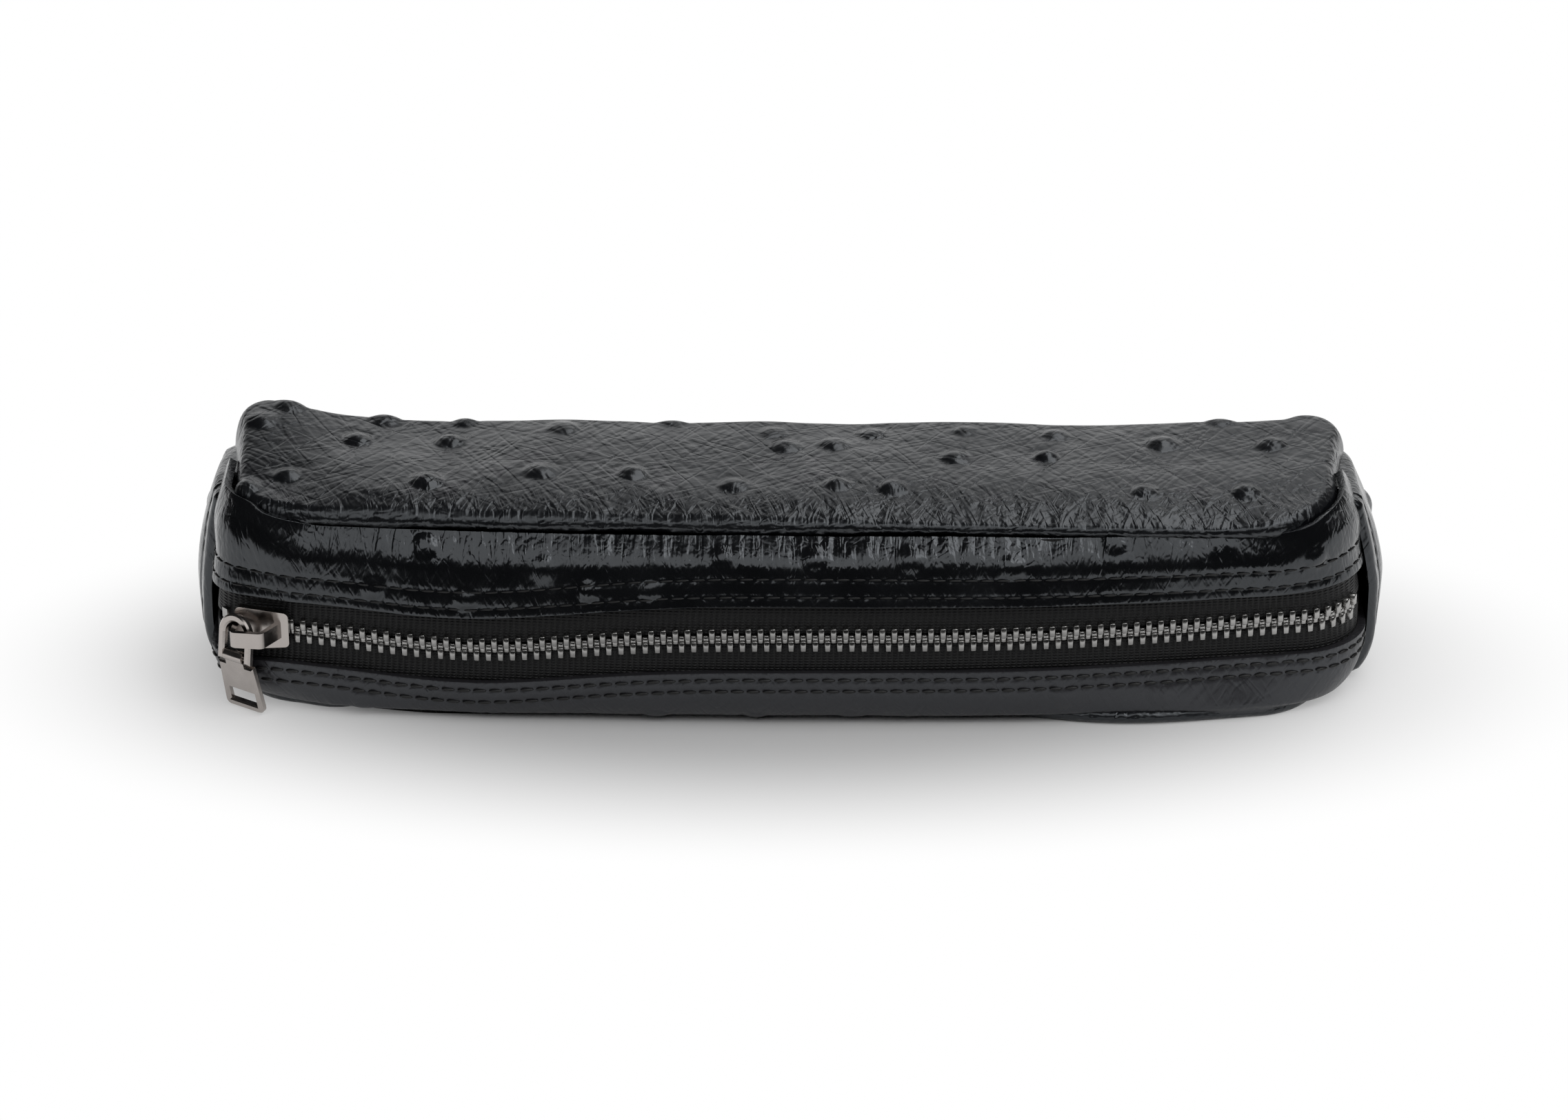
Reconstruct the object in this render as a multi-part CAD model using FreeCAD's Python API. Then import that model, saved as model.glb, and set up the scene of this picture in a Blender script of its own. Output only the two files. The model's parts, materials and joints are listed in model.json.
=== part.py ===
"""Zipped leather pen case lying on one side panel, with the zip facing the front (-Y).

Millimetres. X runs along the case, Z is up, and the origin is under the middle of the case.
Walls are swept round a plan outline from a bulged section: n is the distance outwards from
the middle of the zip tape, and z is the height.
"""
import FreeCAD
import Part
import math
import os

V = FreeCAD.Vector
UP = V(0, 0, 1)

# Whole case
CASE_LENGTH = 201.0
CASE_DEPTH = 51.0
LEATHER = 1.4
LINING = 0.6
SEAM_GAP = 0.1

# Bulged wall section, measured about the height of the zip
ZIP_HEIGHT = 16.5
WALL_RADIUS = 32.0
TAPE = 0.6
TAPE_OUT = WALL_RADIUS + TAPE / 2
BAND_IN = TAPE_OUT + 0.05
BAND_OUT = BAND_IN + LEATHER
FOLD_GAP = 0.2
GUSSET_IN = BAND_OUT + FOLD_GAP
GUSSET_OUT = GUSSET_IN + LEATHER
HEM_OUT = GUSSET_OUT + 0.9
FACING_OUT = WALL_RADIUS - TAPE / 2 - 0.1
FACING_IN = FACING_OUT - LINING
WALL_BOTTOM = 2.1
WALL_TOP = 35.0
TRIM = 1.1
SECTION_STEP = 20.0
SECTION_FLATS = (-2, -1, 0, 1, 2)

# Plan of the zip: a long shallow arc, turned at both ends into the end walls
ZIP_ARC = 600.0
ZIP_ARC_X = 5.0
ZIP_TILT = 0.6
BAND_EDGE = 5.6
ZIP_APEX_Y = -CASE_DEPTH / 2 + BAND_OUT - WALL_RADIUS
ZIP_ARC_Y = ZIP_APEX_Y + ZIP_ARC
END_X = CASE_LENGTH / 2 - (HEM_OUT - WALL_RADIUS)
BACK_Y = CASE_DEPTH / 2 - (GUSSET_OUT - WALL_RADIUS)
CORNER_LEFT = 6.6
CORNER_RIGHT = 12.0
CORNER_BACK = 12.0
FOLD_TURN = 20.0
TUCK = 7.0

# Tapes and facings behind the leather bands
TAPE_EDGE = 0.9
TAPE_REACH = 11.0
FACING_EDGE = 6.6

# Side panels
PANEL_LENGTH = 189.0
PANEL_FRONT_Y = -19.5
PANEL_BACK_Y = 21.0
PANEL_CORNER = 11.0
SLIDER_CORNER = 27.0
FAR_CORNER = 20.0
UPPER_PANEL_DEPTH = 4.0
UPPER_PANEL_ROLL = 2.2
LOWER_PANEL_DEPTH = 2.0
LOWER_PANEL_ROLL = 1.2
LOWER_PANEL_FRONT = 0.8
LINING_INSET = 5.0
LINING_FRONT = 7.0
LINING_HEM = 1.0

# Zip teeth and stops
PITCH = 2.05
TOOTH_THICK = 0.85
TOOTH_HALF_DEPTH = 1.2
TOOTH_REACH = 2.1
TOOTH_HEAD = 0.75
TOOTH_SLOT = 0.5
TOOTH_CROTCH = 0.85
STOP_LENGTH = 1.4
STOP_SETBACK = 0.3
STOP_AHEAD = 2.2
BOTTOM_STOP_ROOM = 2.6
BOTTOM_STOP_LENGTH = 1.6

# Slider, in its own frame: x along the zip, y inwards, z across the zip
SLIDER_X = -88.6
SLIDER_HALF = 4.6
SHOULDER_HALF = 4.0
TAIL_HALF = 3.1
CHANNEL_HALF_DEPTH = 1.4
PLATE_OUT = 2.3
FLANGE = 0.75
FLANGE_IN = 0.9
DIVIDER_TIP = -2.2
DIVIDER_HALF = 0.75
DIVIDER_POINT = 0.6
DIVIDER_SETBACK = 0.3
PLATE_CORNER = 0.9
FIRST_TOOTH = -1.4

# Bridge over the slider's front plate
BRIDGE_OUT = 7.2
BRIDGE_STRAP = 0.9
BRIDGE_NOSE = -4.6
BRIDGE_STRUT = 1.0
BRIDGE_TAIL = 3.4
BRIDGE_HALF = 1.4
BRIDGE_ROOT = 0.2
BRIDGE_SHOULDER = 2.2
BRIDGE_BEND = 1.2
EYE_SHOULDER = 2.7
EYE_TAIL = 1.2

# Shackle link hanging on the bridge's nose strut
LINK_X = -4.1
LINK_OUT = 3.7
LINK_LEAN = 8.0
LINK_YAW = 27.0
LINK_BEVEL = 0.3
LINK_WIRE = 1.4
LINK_WIRE_DEPTH = 1.3
LINK_INNER_HALF = 2.2
LINK_TOP = 1.75
LINK_PIN_DROP = 4.4
LINK_END_DROP = 5.3
PIN_RADIUS = 0.5
PIN_INSIDE = 0.8

# Pull tab
TAB_LEAN = 12.0
TAB_THICK = 1.3
TAB_BARREL_RADIUS = 1.05
TAB_BARREL_HALF = 2.0
TAB_SHOULDER = 1.5
TAB_END = 10.9
TAB_TOP_HALF = 3.8
TAB_END_HALF = 4.25
TAB_CORNER = 1.2
TAB_BEVEL = 0.3
TAB_NECK_LAP = 0.4
WINDOW_HALF = 2.9
WINDOW_LOW = 9.5
WINDOW_HIGH = 7.0
PIN_CLEARANCE = 0.05


def corner_angle(half_length, corner, side, front_arc):
    """Angle on the zip arc where the corner arc of that side starts."""
    return math.asin((half_length - corner - side * ZIP_ARC_X) / (front_arc - corner))


def corner_centre(half_length, corner, side, front_arc):
    angle = corner_angle(half_length, corner, side, front_arc)
    return V(side * (half_length - corner), ZIP_ARC_Y - (front_arc - corner) * math.cos(angle), 0)


LEFT_ANGLE = corner_angle(END_X, CORNER_LEFT, -1, ZIP_ARC)
RIGHT_ANGLE = corner_angle(END_X, CORNER_RIGHT, 1, ZIP_ARC)
LEFT_CENTRE = corner_centre(END_X, CORNER_LEFT, -1, ZIP_ARC)
RIGHT_CENTRE = corner_centre(END_X, CORNER_RIGHT, 1, ZIP_ARC)
ARC_CENTRE = V(ZIP_ARC_X, ZIP_ARC_Y, 0)
SLIDER_ANGLE = math.asin((SLIDER_X - ZIP_ARC_X) / ZIP_ARC)


def section(base, inner, outer, low, high):
    """Face of a bulged wall strip between two radii and two heights, with n measured from base.

    The bulge is drawn in flats that touch the radius and break at the same angles on every strip, so
    layers stay parallel.
    """
    def side(radius):
        tilts = [math.radians(SECTION_STEP * flat) for flat in SECTION_FLATS]
        corner = radius / math.cos(math.radians(SECTION_STEP / 2))
        breaks = [corner * math.sin(tilt + math.radians(SECTION_STEP / 2)) for tilt in tilts[:-1]]
        heights = [low - ZIP_HEIGHT, high - ZIP_HEIGHT]
        heights[1:1] = [height for height in breaks if heights[0] < height < heights[-1]]
        reaches = [min((radius - height * math.sin(tilt)) / math.cos(tilt) for tilt in tilts) for height in heights]
        return [V(base - WALL_RADIUS + n, 0, ZIP_HEIGHT + height) for n, height in zip(reaches, heights)]

    points = side(outer) + side(inner)[::-1]
    return Part.Face(Part.makePolygon(points + points[:1]))


def turn(strip, centre, radius, start, sweep):
    """Wall strip turned about a vertical axis. Angles are degrees of the outward direction."""
    solid = section(radius, *strip).revolve(V(0, 0, 0), UP, sweep)
    solid.rotate(V(0, 0, 0), UP, start)
    solid.translate(centre)
    return solid


def run(strip, start, outward, length):
    """Straight wall strip that starts at a point and goes anticlockwise round the case."""
    solid = section(0, *strip).extrude(V(0, length, 0))
    solid.rotate(V(0, 0, 0), UP, outward)
    solid.translate(start)
    return solid


def join(solids):
    return solids[0].multiFuse(solids[1:]).removeSplitter()


def front_wall(inner, outer, low, high):
    """Wall strip along the zip, round both front corners and under the end folds."""
    strip = (inner, outer, low, high)
    left, right = math.degrees(LEFT_ANGLE), math.degrees(RIGHT_ANGLE)
    return join([
        run(strip, V(-END_X, LEFT_CENTRE.y + TUCK, 0), 180, TUCK),
        turn(strip, LEFT_CENTRE, CORNER_LEFT, 180, 90 - left),
        turn(strip, ARC_CENTRE, ZIP_ARC, 270 - left, left + right),
        turn(strip, RIGHT_CENTRE, CORNER_RIGHT, 270 + right, 90 - right),
        run(strip, V(END_X, RIGHT_CENTRE.y, 0), 0, TUCK),
    ])


def back_wall(inner, outer, low, high, setback):
    """Wall strip round both ends and the back, starting a setback behind the front corners."""
    strip = (inner, outer, low, high)
    side = END_X - CORNER_BACK
    back = BACK_Y - CORNER_BACK
    right, left = RIGHT_CENTRE.y + setback, LEFT_CENTRE.y + setback
    return [
        run(strip, V(END_X, right, 0), 0, back - right),
        turn(strip, V(side, back, 0), CORNER_BACK, 0, 90),
        run(strip, V(side, BACK_Y, 0), 90, 2 * side),
        turn(strip, V(-side, back, 0), CORNER_BACK, 90, 90),
        run(strip, V(-END_X, back, 0), 180, back - left),
    ]


def end_folds(inner, outer, low, high):
    """The strip's front edges, brought round the front corners over the zip bands."""
    strip = (inner, outer, low, high)
    return [
        turn(strip, RIGHT_CENTRE, CORNER_RIGHT, -FOLD_TURN, FOLD_TURN),
        turn(strip, LEFT_CENTRE, CORNER_LEFT, 180, FOLD_TURN),
    ]


def panel_block(inset, low, height):
    """Rounded rectangle of a side panel, drawn in by an inset, with larger corners at the zip."""
    right = PANEL_LENGTH / 2 - inset
    front, back = PANEL_FRONT_Y + inset, PANEL_BACK_Y - inset
    corner = PANEL_CORNER - inset / 2
    corners = [(-right, front, 1, 1, SLIDER_CORNER - 2 * inset), (right, front, -1, 1, FAR_CORNER - inset),
               (right, back, -1, -1, corner), (-right, back, 1, -1, corner)]
    edges = []
    ends = []
    for x, y, dx, dy, radius in corners:
        slack = radius * (1 - math.sqrt(0.5))
        along_x, along_y = V(x + dx * radius, y, low), V(x, y + dy * radius, low)
        start, end = (along_y, along_x) if dx == dy else (along_x, along_y)
        edges.append(Part.Arc(start, V(x + dx * slack, y + dy * slack, low), end).toShape())
        ends.append((start, end))
    for i in range(4):
        edges.append(Part.LineSegment(ends[i][1], ends[(i + 1) % 4][0]).toShape())
    outline = Part.Wire(Part.__sortEdges__(edges))
    return Part.Face(outline).extrude(V(0, 0, height))


def within_zip(block, setback):
    """Part of a flat block that lies a setback behind the curve of the zip."""
    box = block.BoundBox
    foot = ARC_CENTRE + V(0, 0, box.ZMin - 1)
    return block.common(Part.makeCylinder(ZIP_ARC - setback, box.ZLength + 2, foot))


def edges_at(shape, height):
    return [edge for edge in shape.Edges
            if abs(edge.BoundBox.ZMin - height) < 1e-6 and abs(edge.BoundBox.ZMax - height) < 1e-6]


def upper_side_panel():
    """Inverted tray of leather with a rolled edge, sewn to the walls at its rim."""
    rim = WALL_TOP + SEAM_GAP
    top = rim + UPPER_PANEL_DEPTH
    block = panel_block(0, rim, UPPER_PANEL_DEPTH)
    rolled = block.makeChamfer(UPPER_PANEL_ROLL, edges_at(block, top))
    return rolled.cut(panel_block(LEATHER, rim, UPPER_PANEL_DEPTH - LEATHER))


def lower_side_panel():
    """Flat panel that the case lies on, with its lower edge rolled under."""
    block = panel_block(0, 0, LOWER_PANEL_DEPTH)
    rolled = block.makeChamfer(LOWER_PANEL_ROLL, edges_at(block, 0))
    return within_zip(rolled, LOWER_PANEL_FRONT)


def tilt(shape):
    """Turn a piece of the wall or zip, so that the zip runs a little lower at the slider's end."""
    shape.rotate(V(0, 0, ZIP_HEIGHT), V(0, 1, 0), -ZIP_TILT)
    return shape


def between_seams(wall, low, high):
    """Tilted wall strip, trimmed level at its seams."""
    width, depth = 2 * CASE_LENGTH, 4 * CASE_DEPTH
    return tilt(wall).common(Part.makeBox(width, depth, high - low, V(-width / 2, -depth / 2, low)))


def base_gusset():
    """One strip round the ends and back, with a doubled hem where it folds over the zip bands."""
    low, high = WALL_BOTTOM - TRIM, WALL_TOP + TRIM
    wall = back_wall(GUSSET_IN, GUSSET_OUT, low, high, 0)
    folds = end_folds(GUSSET_IN, HEM_OUT, low, high)
    return between_seams(join(wall + folds), WALL_BOTTOM, WALL_TOP)


def gusset_lining():
    outer = GUSSET_IN - SEAM_GAP
    strip = back_wall(outer - LINING, outer, WALL_BOTTOM - TRIM, WALL_TOP + TRIM, TUCK + 1)
    return between_seams(join(strip), WALL_BOTTOM + LINING_HEM, WALL_TOP - LINING_HEM)


def zip_band(low, high):
    """Leather strip beside the zip. The side away from the zip is trimmed at its seam."""
    return between_seams(front_wall(BAND_IN, BAND_OUT, low, high), WALL_BOTTOM, WALL_TOP)


def zip_tape(low, high):
    return tilt(front_wall(WALL_RADIUS - TAPE / 2, TAPE_OUT, low, high))


def side_lining(low):
    """Lining sheet over a side panel, inside the front wall."""
    return within_zip(panel_block(LINING_INSET, low, LINING), LINING_FRONT)


def zip_facing(low, high):
    """Lining strip behind a zip band, along the long arc only."""
    left, right = math.degrees(LEFT_ANGLE), math.degrees(RIGHT_ANGLE)
    strip = (FACING_IN, FACING_OUT, low, high)
    facing = turn(strip, ARC_CENTRE, ZIP_ARC, 270 - left, left + right)
    return between_seams(facing, WALL_BOTTOM + LINING_HEM, WALL_TOP - LINING_HEM)


def place_on_zip(shape, distance):
    """Copy of a shape drawn about the zip's centre, set at a distance along the zip from the slider."""
    main = ZIP_ARC * (RIGHT_ANGLE - SLIDER_ANGLE)
    before = -ZIP_ARC * (LEFT_ANGLE + SLIDER_ANGLE)
    if distance > main:
        angle = RIGHT_ANGLE + (distance - main) / CORNER_RIGHT
        centre, radius = RIGHT_CENTRE, CORNER_RIGHT
    elif distance < before:
        angle = -LEFT_ANGLE + (distance - before) / CORNER_LEFT
        centre, radius = LEFT_CENTRE, CORNER_LEFT
    else:
        angle = SLIDER_ANGLE + distance / ZIP_ARC
        centre, radius = ARC_CENTRE, ZIP_ARC
    placed = shape.copy()
    placed.rotate(V(0, 0, 0), UP, math.degrees(angle))
    placed.translate(centre + V(radius * math.sin(angle), -radius * math.cos(angle), ZIP_HEIGHT))
    return placed


def prism_along_zip(points, length):
    """Solid drawn as (y, z) points across the zip and centred along it."""
    wire = Part.makePolygon([V(-length / 2, y, z) for y, z in points + points[:1]])
    return Part.Face(wire).extrude(V(length, 0, 0))


def clamp(side, length, head):
    """Metal clamped over the edge of a tape: a head with a slot that the tape's edge sits in."""
    deep, slot = TOOTH_HALF_DEPTH, TOOTH_SLOT
    points = [(-deep, -head), (deep, -head), (deep, TOOTH_REACH), (slot, TOOTH_REACH),
              (slot, TOOTH_CROTCH), (-slot, TOOTH_CROTCH), (-slot, TOOTH_REACH), (-deep, TOOTH_REACH)]
    return prism_along_zip([(y, side * z) for y, z in points], length)


def zip_length():
    return ZIP_ARC * (RIGHT_ANGLE - SLIDER_ANGLE) + CORNER_RIGHT * (math.pi / 2 - RIGHT_ANGLE)


def teeth(side, offset):
    tooth = clamp(side, TOOTH_THICK, TOOTH_HEAD)
    end = zip_length() - BOTTOM_STOP_ROOM
    count = int((end - FIRST_TOOTH - offset) / PITCH)
    return Part.Compound([place_on_zip(tooth, FIRST_TOOTH + offset + PITCH * i) for i in range(count)])


def top_stop(side):
    return place_on_zip(clamp(side, STOP_LENGTH, -STOP_SETBACK), -SLIDER_HALF - STOP_AHEAD)


def bottom_stop():
    """Clip across both tapes at the blind end of the zip."""
    deep, slot, crotch, reach = TOOTH_HALF_DEPTH, TOOTH_SLOT, TOOTH_CROTCH, TOOTH_REACH
    points = [(-deep, -reach), (-slot, -reach), (-slot, -crotch), (slot, -crotch), (slot, -reach),
              (deep, -reach), (deep, reach), (slot, reach), (slot, crotch), (-slot, crotch),
              (-slot, reach), (-deep, reach)]
    return place_on_zip(prism_along_zip(points, BOTTOM_STOP_LENGTH), zip_length())


def slider_outline(tail, shoulder, reach, low, high):
    """Prism of the slider's tapered outline between two depths."""
    points = [V(-reach, low, -shoulder), V(reach, low, -tail), V(reach, low, tail), V(-reach, low, shoulder)]
    return Part.Face(Part.makePolygon(points + points[:1])).extrude(V(0, high - low, 0))


def slider_bridge():
    """Strap that leaves the tail of the front plate and returns to it at the nose."""
    outer, inner = -BRIDGE_OUT, -BRIDGE_OUT + BRIDGE_STRAP
    plate = -PLATE_OUT + BRIDGE_ROOT
    nose, strut, tail = BRIDGE_NOSE, BRIDGE_NOSE + BRIDGE_STRUT, BRIDGE_TAIL
    outline = Part.makePolygon([V(x, y, -BRIDGE_HALF) for x, y in [
        (nose, plate), (nose, outer), (tail - BRIDGE_SHOULDER, outer), (tail, plate), (nose, plate)]])
    eye = Part.makePolygon([V(x, y, -BRIDGE_HALF) for x, y in [
        (strut, -PLATE_OUT), (strut, inner), (tail - EYE_SHOULDER, inner), (tail - EYE_TAIL, -PLATE_OUT),
        (strut, -PLATE_OUT)]])
    height = V(0, 0, 2 * BRIDGE_HALF)
    block = Part.Face(outline).extrude(height)
    rounded = [edge for edge in block.Edges
               if edge.BoundBox.ZLength > BRIDGE_HALF and edge.BoundBox.YMax < outer + 0.1]
    return block.makeFillet(BRIDGE_BEND, rounded).cut(Part.Face(eye).extrude(height))


def slider_body():
    depth = CHANNEL_HALF_DEPTH
    body = slider_outline(TAIL_HALF, SHOULDER_HALF, SLIDER_HALF, -PLATE_OUT, PLATE_OUT)
    corners = [edge for edge in body.Edges if edge.BoundBox.YLength > PLATE_OUT]
    body = body.makeFillet(PLATE_CORNER, corners)
    reach = SLIDER_HALF + 1
    slope = (SHOULDER_HALF - TAIL_HALF) / (2 * SLIDER_HALF)
    tail, shoulder = TAIL_HALF - slope, SHOULDER_HALF + slope
    channel = slider_outline(tail - FLANGE, shoulder - FLANGE, reach, -depth, depth)
    tape_gap = slider_outline(tail + 1, shoulder + 1, reach, -FLANGE_IN, FLANGE_IN)
    body = body.cut(channel).cut(tape_gap)
    back, shoulder = DIVIDER_SETBACK - SLIDER_HALF, DIVIDER_TIP - DIVIDER_POINT
    post = Part.makePolygon([V(x, -depth, z) for x, z in [
        (back, -DIVIDER_HALF), (shoulder, -DIVIDER_HALF), (DIVIDER_TIP, 0), (shoulder, DIVIDER_HALF),
        (back, DIVIDER_HALF), (back, -DIVIDER_HALF)]])
    divider = Part.Face(post).extrude(V(0, 2 * depth, 0))
    return body.multiFuse([divider, slider_bridge()]).removeSplitter()


def hang_link(shape):
    """Move a shape drawn about the link's pivot, in the x-z plane, to its place on the slider."""
    shape.rotate(V(0, 0, 0), V(1, 0, 0), -LINK_LEAN)
    shape.rotate(V(0, 0, 0), UP, -LINK_YAW)
    shape.translate(V(LINK_X, -LINK_OUT, 0))
    return shape


def pull_link():
    """Flat wire bent to a shackle, with a pin turned in at the end of each leg."""
    bend = LINK_TOP - LINK_INNER_HALF
    outer = LINK_INNER_HALF + LINK_WIRE
    half = LINK_WIRE_DEPTH / 2

    def shackle(radius, drop):
        edges = [
            Part.Arc(V(-radius, -half, bend), V(0, -half, bend + radius), V(radius, -half, bend)).toShape(),
            Part.LineSegment(V(radius, -half, bend), V(radius, -half, -drop)).toShape(),
            Part.LineSegment(V(radius, -half, -drop), V(-radius, -half, -drop)).toShape(),
            Part.LineSegment(V(-radius, -half, -drop), V(-radius, -half, bend)).toShape(),
        ]
        return Part.Face(Part.Wire(edges)).extrude(V(0, 2 * half, 0))

    wire = shackle(outer, LINK_END_DROP).cut(shackle(LINK_INNER_HALF, LINK_END_DROP + 1))
    rims = [edge for edge in wire.Edges if edge.BoundBox.YLength < 1e-6]
    wire = wire.makeChamfer(LINK_BEVEL, rims)
    root = LINK_INNER_HALF + LINK_WIRE / 3
    length = root - TAB_BARREL_HALF + PIN_INSIDE
    pins = [Part.makeCylinder(PIN_RADIUS, length, V(side * root, 0, -LINK_PIN_DROP), V(-side, 0, 0))
            for side in (-1, 1)]
    return hang_link(wire.multiFuse(pins).removeSplitter())


def pull_tab():
    """Flat tab with a barrel at its top, a window near its end and a slight flare."""
    barrel = Part.makeCylinder(TAB_BARREL_RADIUS, 2 * TAB_BARREL_HALF, V(-TAB_BARREL_HALF, 0, 0), V(1, 0, 0))
    half = TAB_THICK / 2
    neck = Part.makeBox(2 * TAB_BARREL_HALF, TAB_THICK, TAB_SHOULDER + TAB_NECK_LAP,
                        V(-TAB_BARREL_HALF, -half, -TAB_SHOULDER - TAB_NECK_LAP))
    outline = Part.makePolygon([V(x, -half, z) for x, z in [
        (-TAB_TOP_HALF, -TAB_SHOULDER), (TAB_TOP_HALF, -TAB_SHOULDER), (TAB_END_HALF, -TAB_END),
        (-TAB_END_HALF, -TAB_END), (-TAB_TOP_HALF, -TAB_SHOULDER)]])
    plate = Part.Face(outline).extrude(V(0, TAB_THICK, 0))
    corners = [edge for edge in plate.Edges
               if edge.BoundBox.YLength > half and edge.BoundBox.ZMax < -TAB_END + 0.1]
    plate = plate.makeFillet(TAB_CORNER, corners)
    window = Part.makeBox(2 * WINDOW_HALF, 2 * TAB_THICK, WINDOW_LOW - WINDOW_HIGH,
                          V(-WINDOW_HALF, -TAB_THICK, -WINDOW_LOW))
    hole = Part.makeCylinder(PIN_RADIUS + PIN_CLEARANCE, 2 * TAB_BARREL_HALF, V(-TAB_BARREL_HALF, 0, 0),
                             V(1, 0, 0))
    plate = plate.cut(window)
    rims = [edge for edge in plate.Edges if edge.BoundBox.YLength < 1e-6]
    plate = plate.makeChamfer(TAB_BEVEL, rims)
    tab = plate.multiFuse([barrel, neck]).cut(hole).removeSplitter()
    tab.rotate(V(0, 0, 0), V(1, 0, 0), TAB_LEAN + LINK_LEAN)
    tab.translate(V(0, 0, -LINK_PIN_DROP))
    return hang_link(tab)


def report_joints():
    """Print the joint axes in millimetres, for the record."""
    def on_slider(point):
        return tilt(place_on_zip(Part.Vertex(point), 0)).Point

    def on_link(point):
        return on_slider(hang_link(Part.Vertex(point)).Point)

    pivot, pin = on_link(V(0, 0, 0)), on_link(V(0, 0, -LINK_PIN_DROP))
    centre = tilt(Part.Vertex(ARC_CENTRE + V(0, 0, ZIP_HEIGHT))).Point
    above = tilt(Part.Vertex(ARC_CENTRE + V(0, 0, ZIP_HEIGHT + 1))).Point
    print("slider axis", centre, above - centre)
    print("slider angles", math.degrees(SLIDER_ANGLE), math.degrees(RIGHT_ANGLE))
    print("link pivot", pivot, "axis", on_link(V(0, -1, 0)) - pivot)
    print("tab pin", pin, "axis", on_link(V(1, 0, -LINK_PIN_DROP)) - pin)


PIECES = {
    "upper_side_panel": upper_side_panel(),
    "lower_side_panel": lower_side_panel(),
    "base_gusset": base_gusset(),
    "upper_zip_band": zip_band(ZIP_HEIGHT + BAND_EDGE, WALL_TOP + TRIM),
    "lower_zip_band": zip_band(WALL_BOTTOM - TRIM, ZIP_HEIGHT - BAND_EDGE),
    "upper_zip_tape": zip_tape(ZIP_HEIGHT + TAPE_EDGE, ZIP_HEIGHT + TAPE_REACH),
    "lower_zip_tape": zip_tape(ZIP_HEIGHT - TAPE_REACH, ZIP_HEIGHT - TAPE_EDGE),
    "upper_zip_teeth": tilt(teeth(1, 0)),
    "lower_zip_teeth": tilt(teeth(-1, PITCH / 2)),
    "upper_top_stop": tilt(top_stop(1)),
    "lower_top_stop": tilt(top_stop(-1)),
    "bottom_stop": tilt(bottom_stop()),
    "slider_body": tilt(place_on_zip(slider_body(), 0)),
    "pull_link": tilt(place_on_zip(pull_link(), 0)),
    "pull_tab": tilt(place_on_zip(pull_tab(), 0)),
    "upper_side_lining": side_lining(WALL_TOP + SEAM_GAP + UPPER_PANEL_DEPTH - LEATHER - LINING - SEAM_GAP),
    "lower_side_lining": side_lining(LOWER_PANEL_DEPTH + SEAM_GAP / 2),
    "gusset_lining": gusset_lining(),
    "upper_zip_facing": zip_facing(ZIP_HEIGHT + FACING_EDGE, WALL_TOP + TRIM),
    "lower_zip_facing": zip_facing(WALL_BOTTOM - TRIM, ZIP_HEIGHT - FACING_EDGE),
}

os.makedirs("parts", exist_ok=True)
for name, shape in PIECES.items():
    box = shape.BoundBox
    print(name, "solids", len(shape.Solids), "valid", shape.isValid(), "volume", round(shape.Volume, 1),
          "x", round(box.XMin, 2), round(box.XMax, 2), "y", round(box.YMin, 2), round(box.YMax, 2),
          "z", round(box.ZMin, 2), round(box.ZMax, 2))
    shape.exportStep("parts/" + name + ".step")
report_joints()
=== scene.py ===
# %% [markdown]
# A zipped pen case in black leather with an embossed ostrich grain. It is a sewn bag: two side panels,
# a front wall split by the zip, and one gusset strip round the ends and back. The metal parts come from
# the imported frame. The leather, cloth, thread and teeth are modelled here round the same axes, because
# a bag is soft and its solids are plain.

# %% Load the frame
import json
import math
import random
import bpy
import numpy as np
from mathutils import Matrix, Vector, kdtree, noise

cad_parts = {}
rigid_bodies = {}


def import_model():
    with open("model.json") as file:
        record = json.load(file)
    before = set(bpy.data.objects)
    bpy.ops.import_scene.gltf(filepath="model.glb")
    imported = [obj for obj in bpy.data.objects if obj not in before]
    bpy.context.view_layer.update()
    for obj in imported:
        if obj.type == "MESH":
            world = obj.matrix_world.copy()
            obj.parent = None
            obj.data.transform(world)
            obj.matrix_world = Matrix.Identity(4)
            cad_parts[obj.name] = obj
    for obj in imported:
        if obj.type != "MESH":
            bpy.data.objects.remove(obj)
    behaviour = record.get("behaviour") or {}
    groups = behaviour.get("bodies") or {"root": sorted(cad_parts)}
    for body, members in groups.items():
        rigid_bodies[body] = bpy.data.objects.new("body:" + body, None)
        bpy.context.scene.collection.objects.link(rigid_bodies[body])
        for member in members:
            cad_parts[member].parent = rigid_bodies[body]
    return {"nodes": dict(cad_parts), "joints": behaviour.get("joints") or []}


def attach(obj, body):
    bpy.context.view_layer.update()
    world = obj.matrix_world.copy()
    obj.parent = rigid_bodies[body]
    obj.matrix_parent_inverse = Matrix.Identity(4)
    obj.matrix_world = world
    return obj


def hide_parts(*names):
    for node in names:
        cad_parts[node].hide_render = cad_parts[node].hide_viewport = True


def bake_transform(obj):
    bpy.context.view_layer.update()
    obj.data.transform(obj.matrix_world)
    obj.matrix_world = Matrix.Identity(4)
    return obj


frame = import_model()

for extra in [thing for thing in bpy.data.objects if thing.name in ("Cube", "Light", "Camera")]:
    bpy.data.objects.remove(extra)
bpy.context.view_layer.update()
MM = 0.001
joints = {joint["name"]: joint for joint in frame["joints"]}

# %% [markdown]
# The camera comes first. The photograph looks down at about 25 degrees with a long lens, straight at the
# zip, so the case's length is seen true. One scale, pixels for each millimetre at the zip, sets the lens.

# %% Camera at the photograph's angle
PHOTO_WIDTH = 2274
SENSOR = 36.0
CAMERA_DISTANCE = 0.9
CAMERA_ELEVATION = math.radians(25)
CAMERA_TARGET = Vector((-0.00035, 0, 0.01983))
FOCAL_PIXELS = 7560

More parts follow.
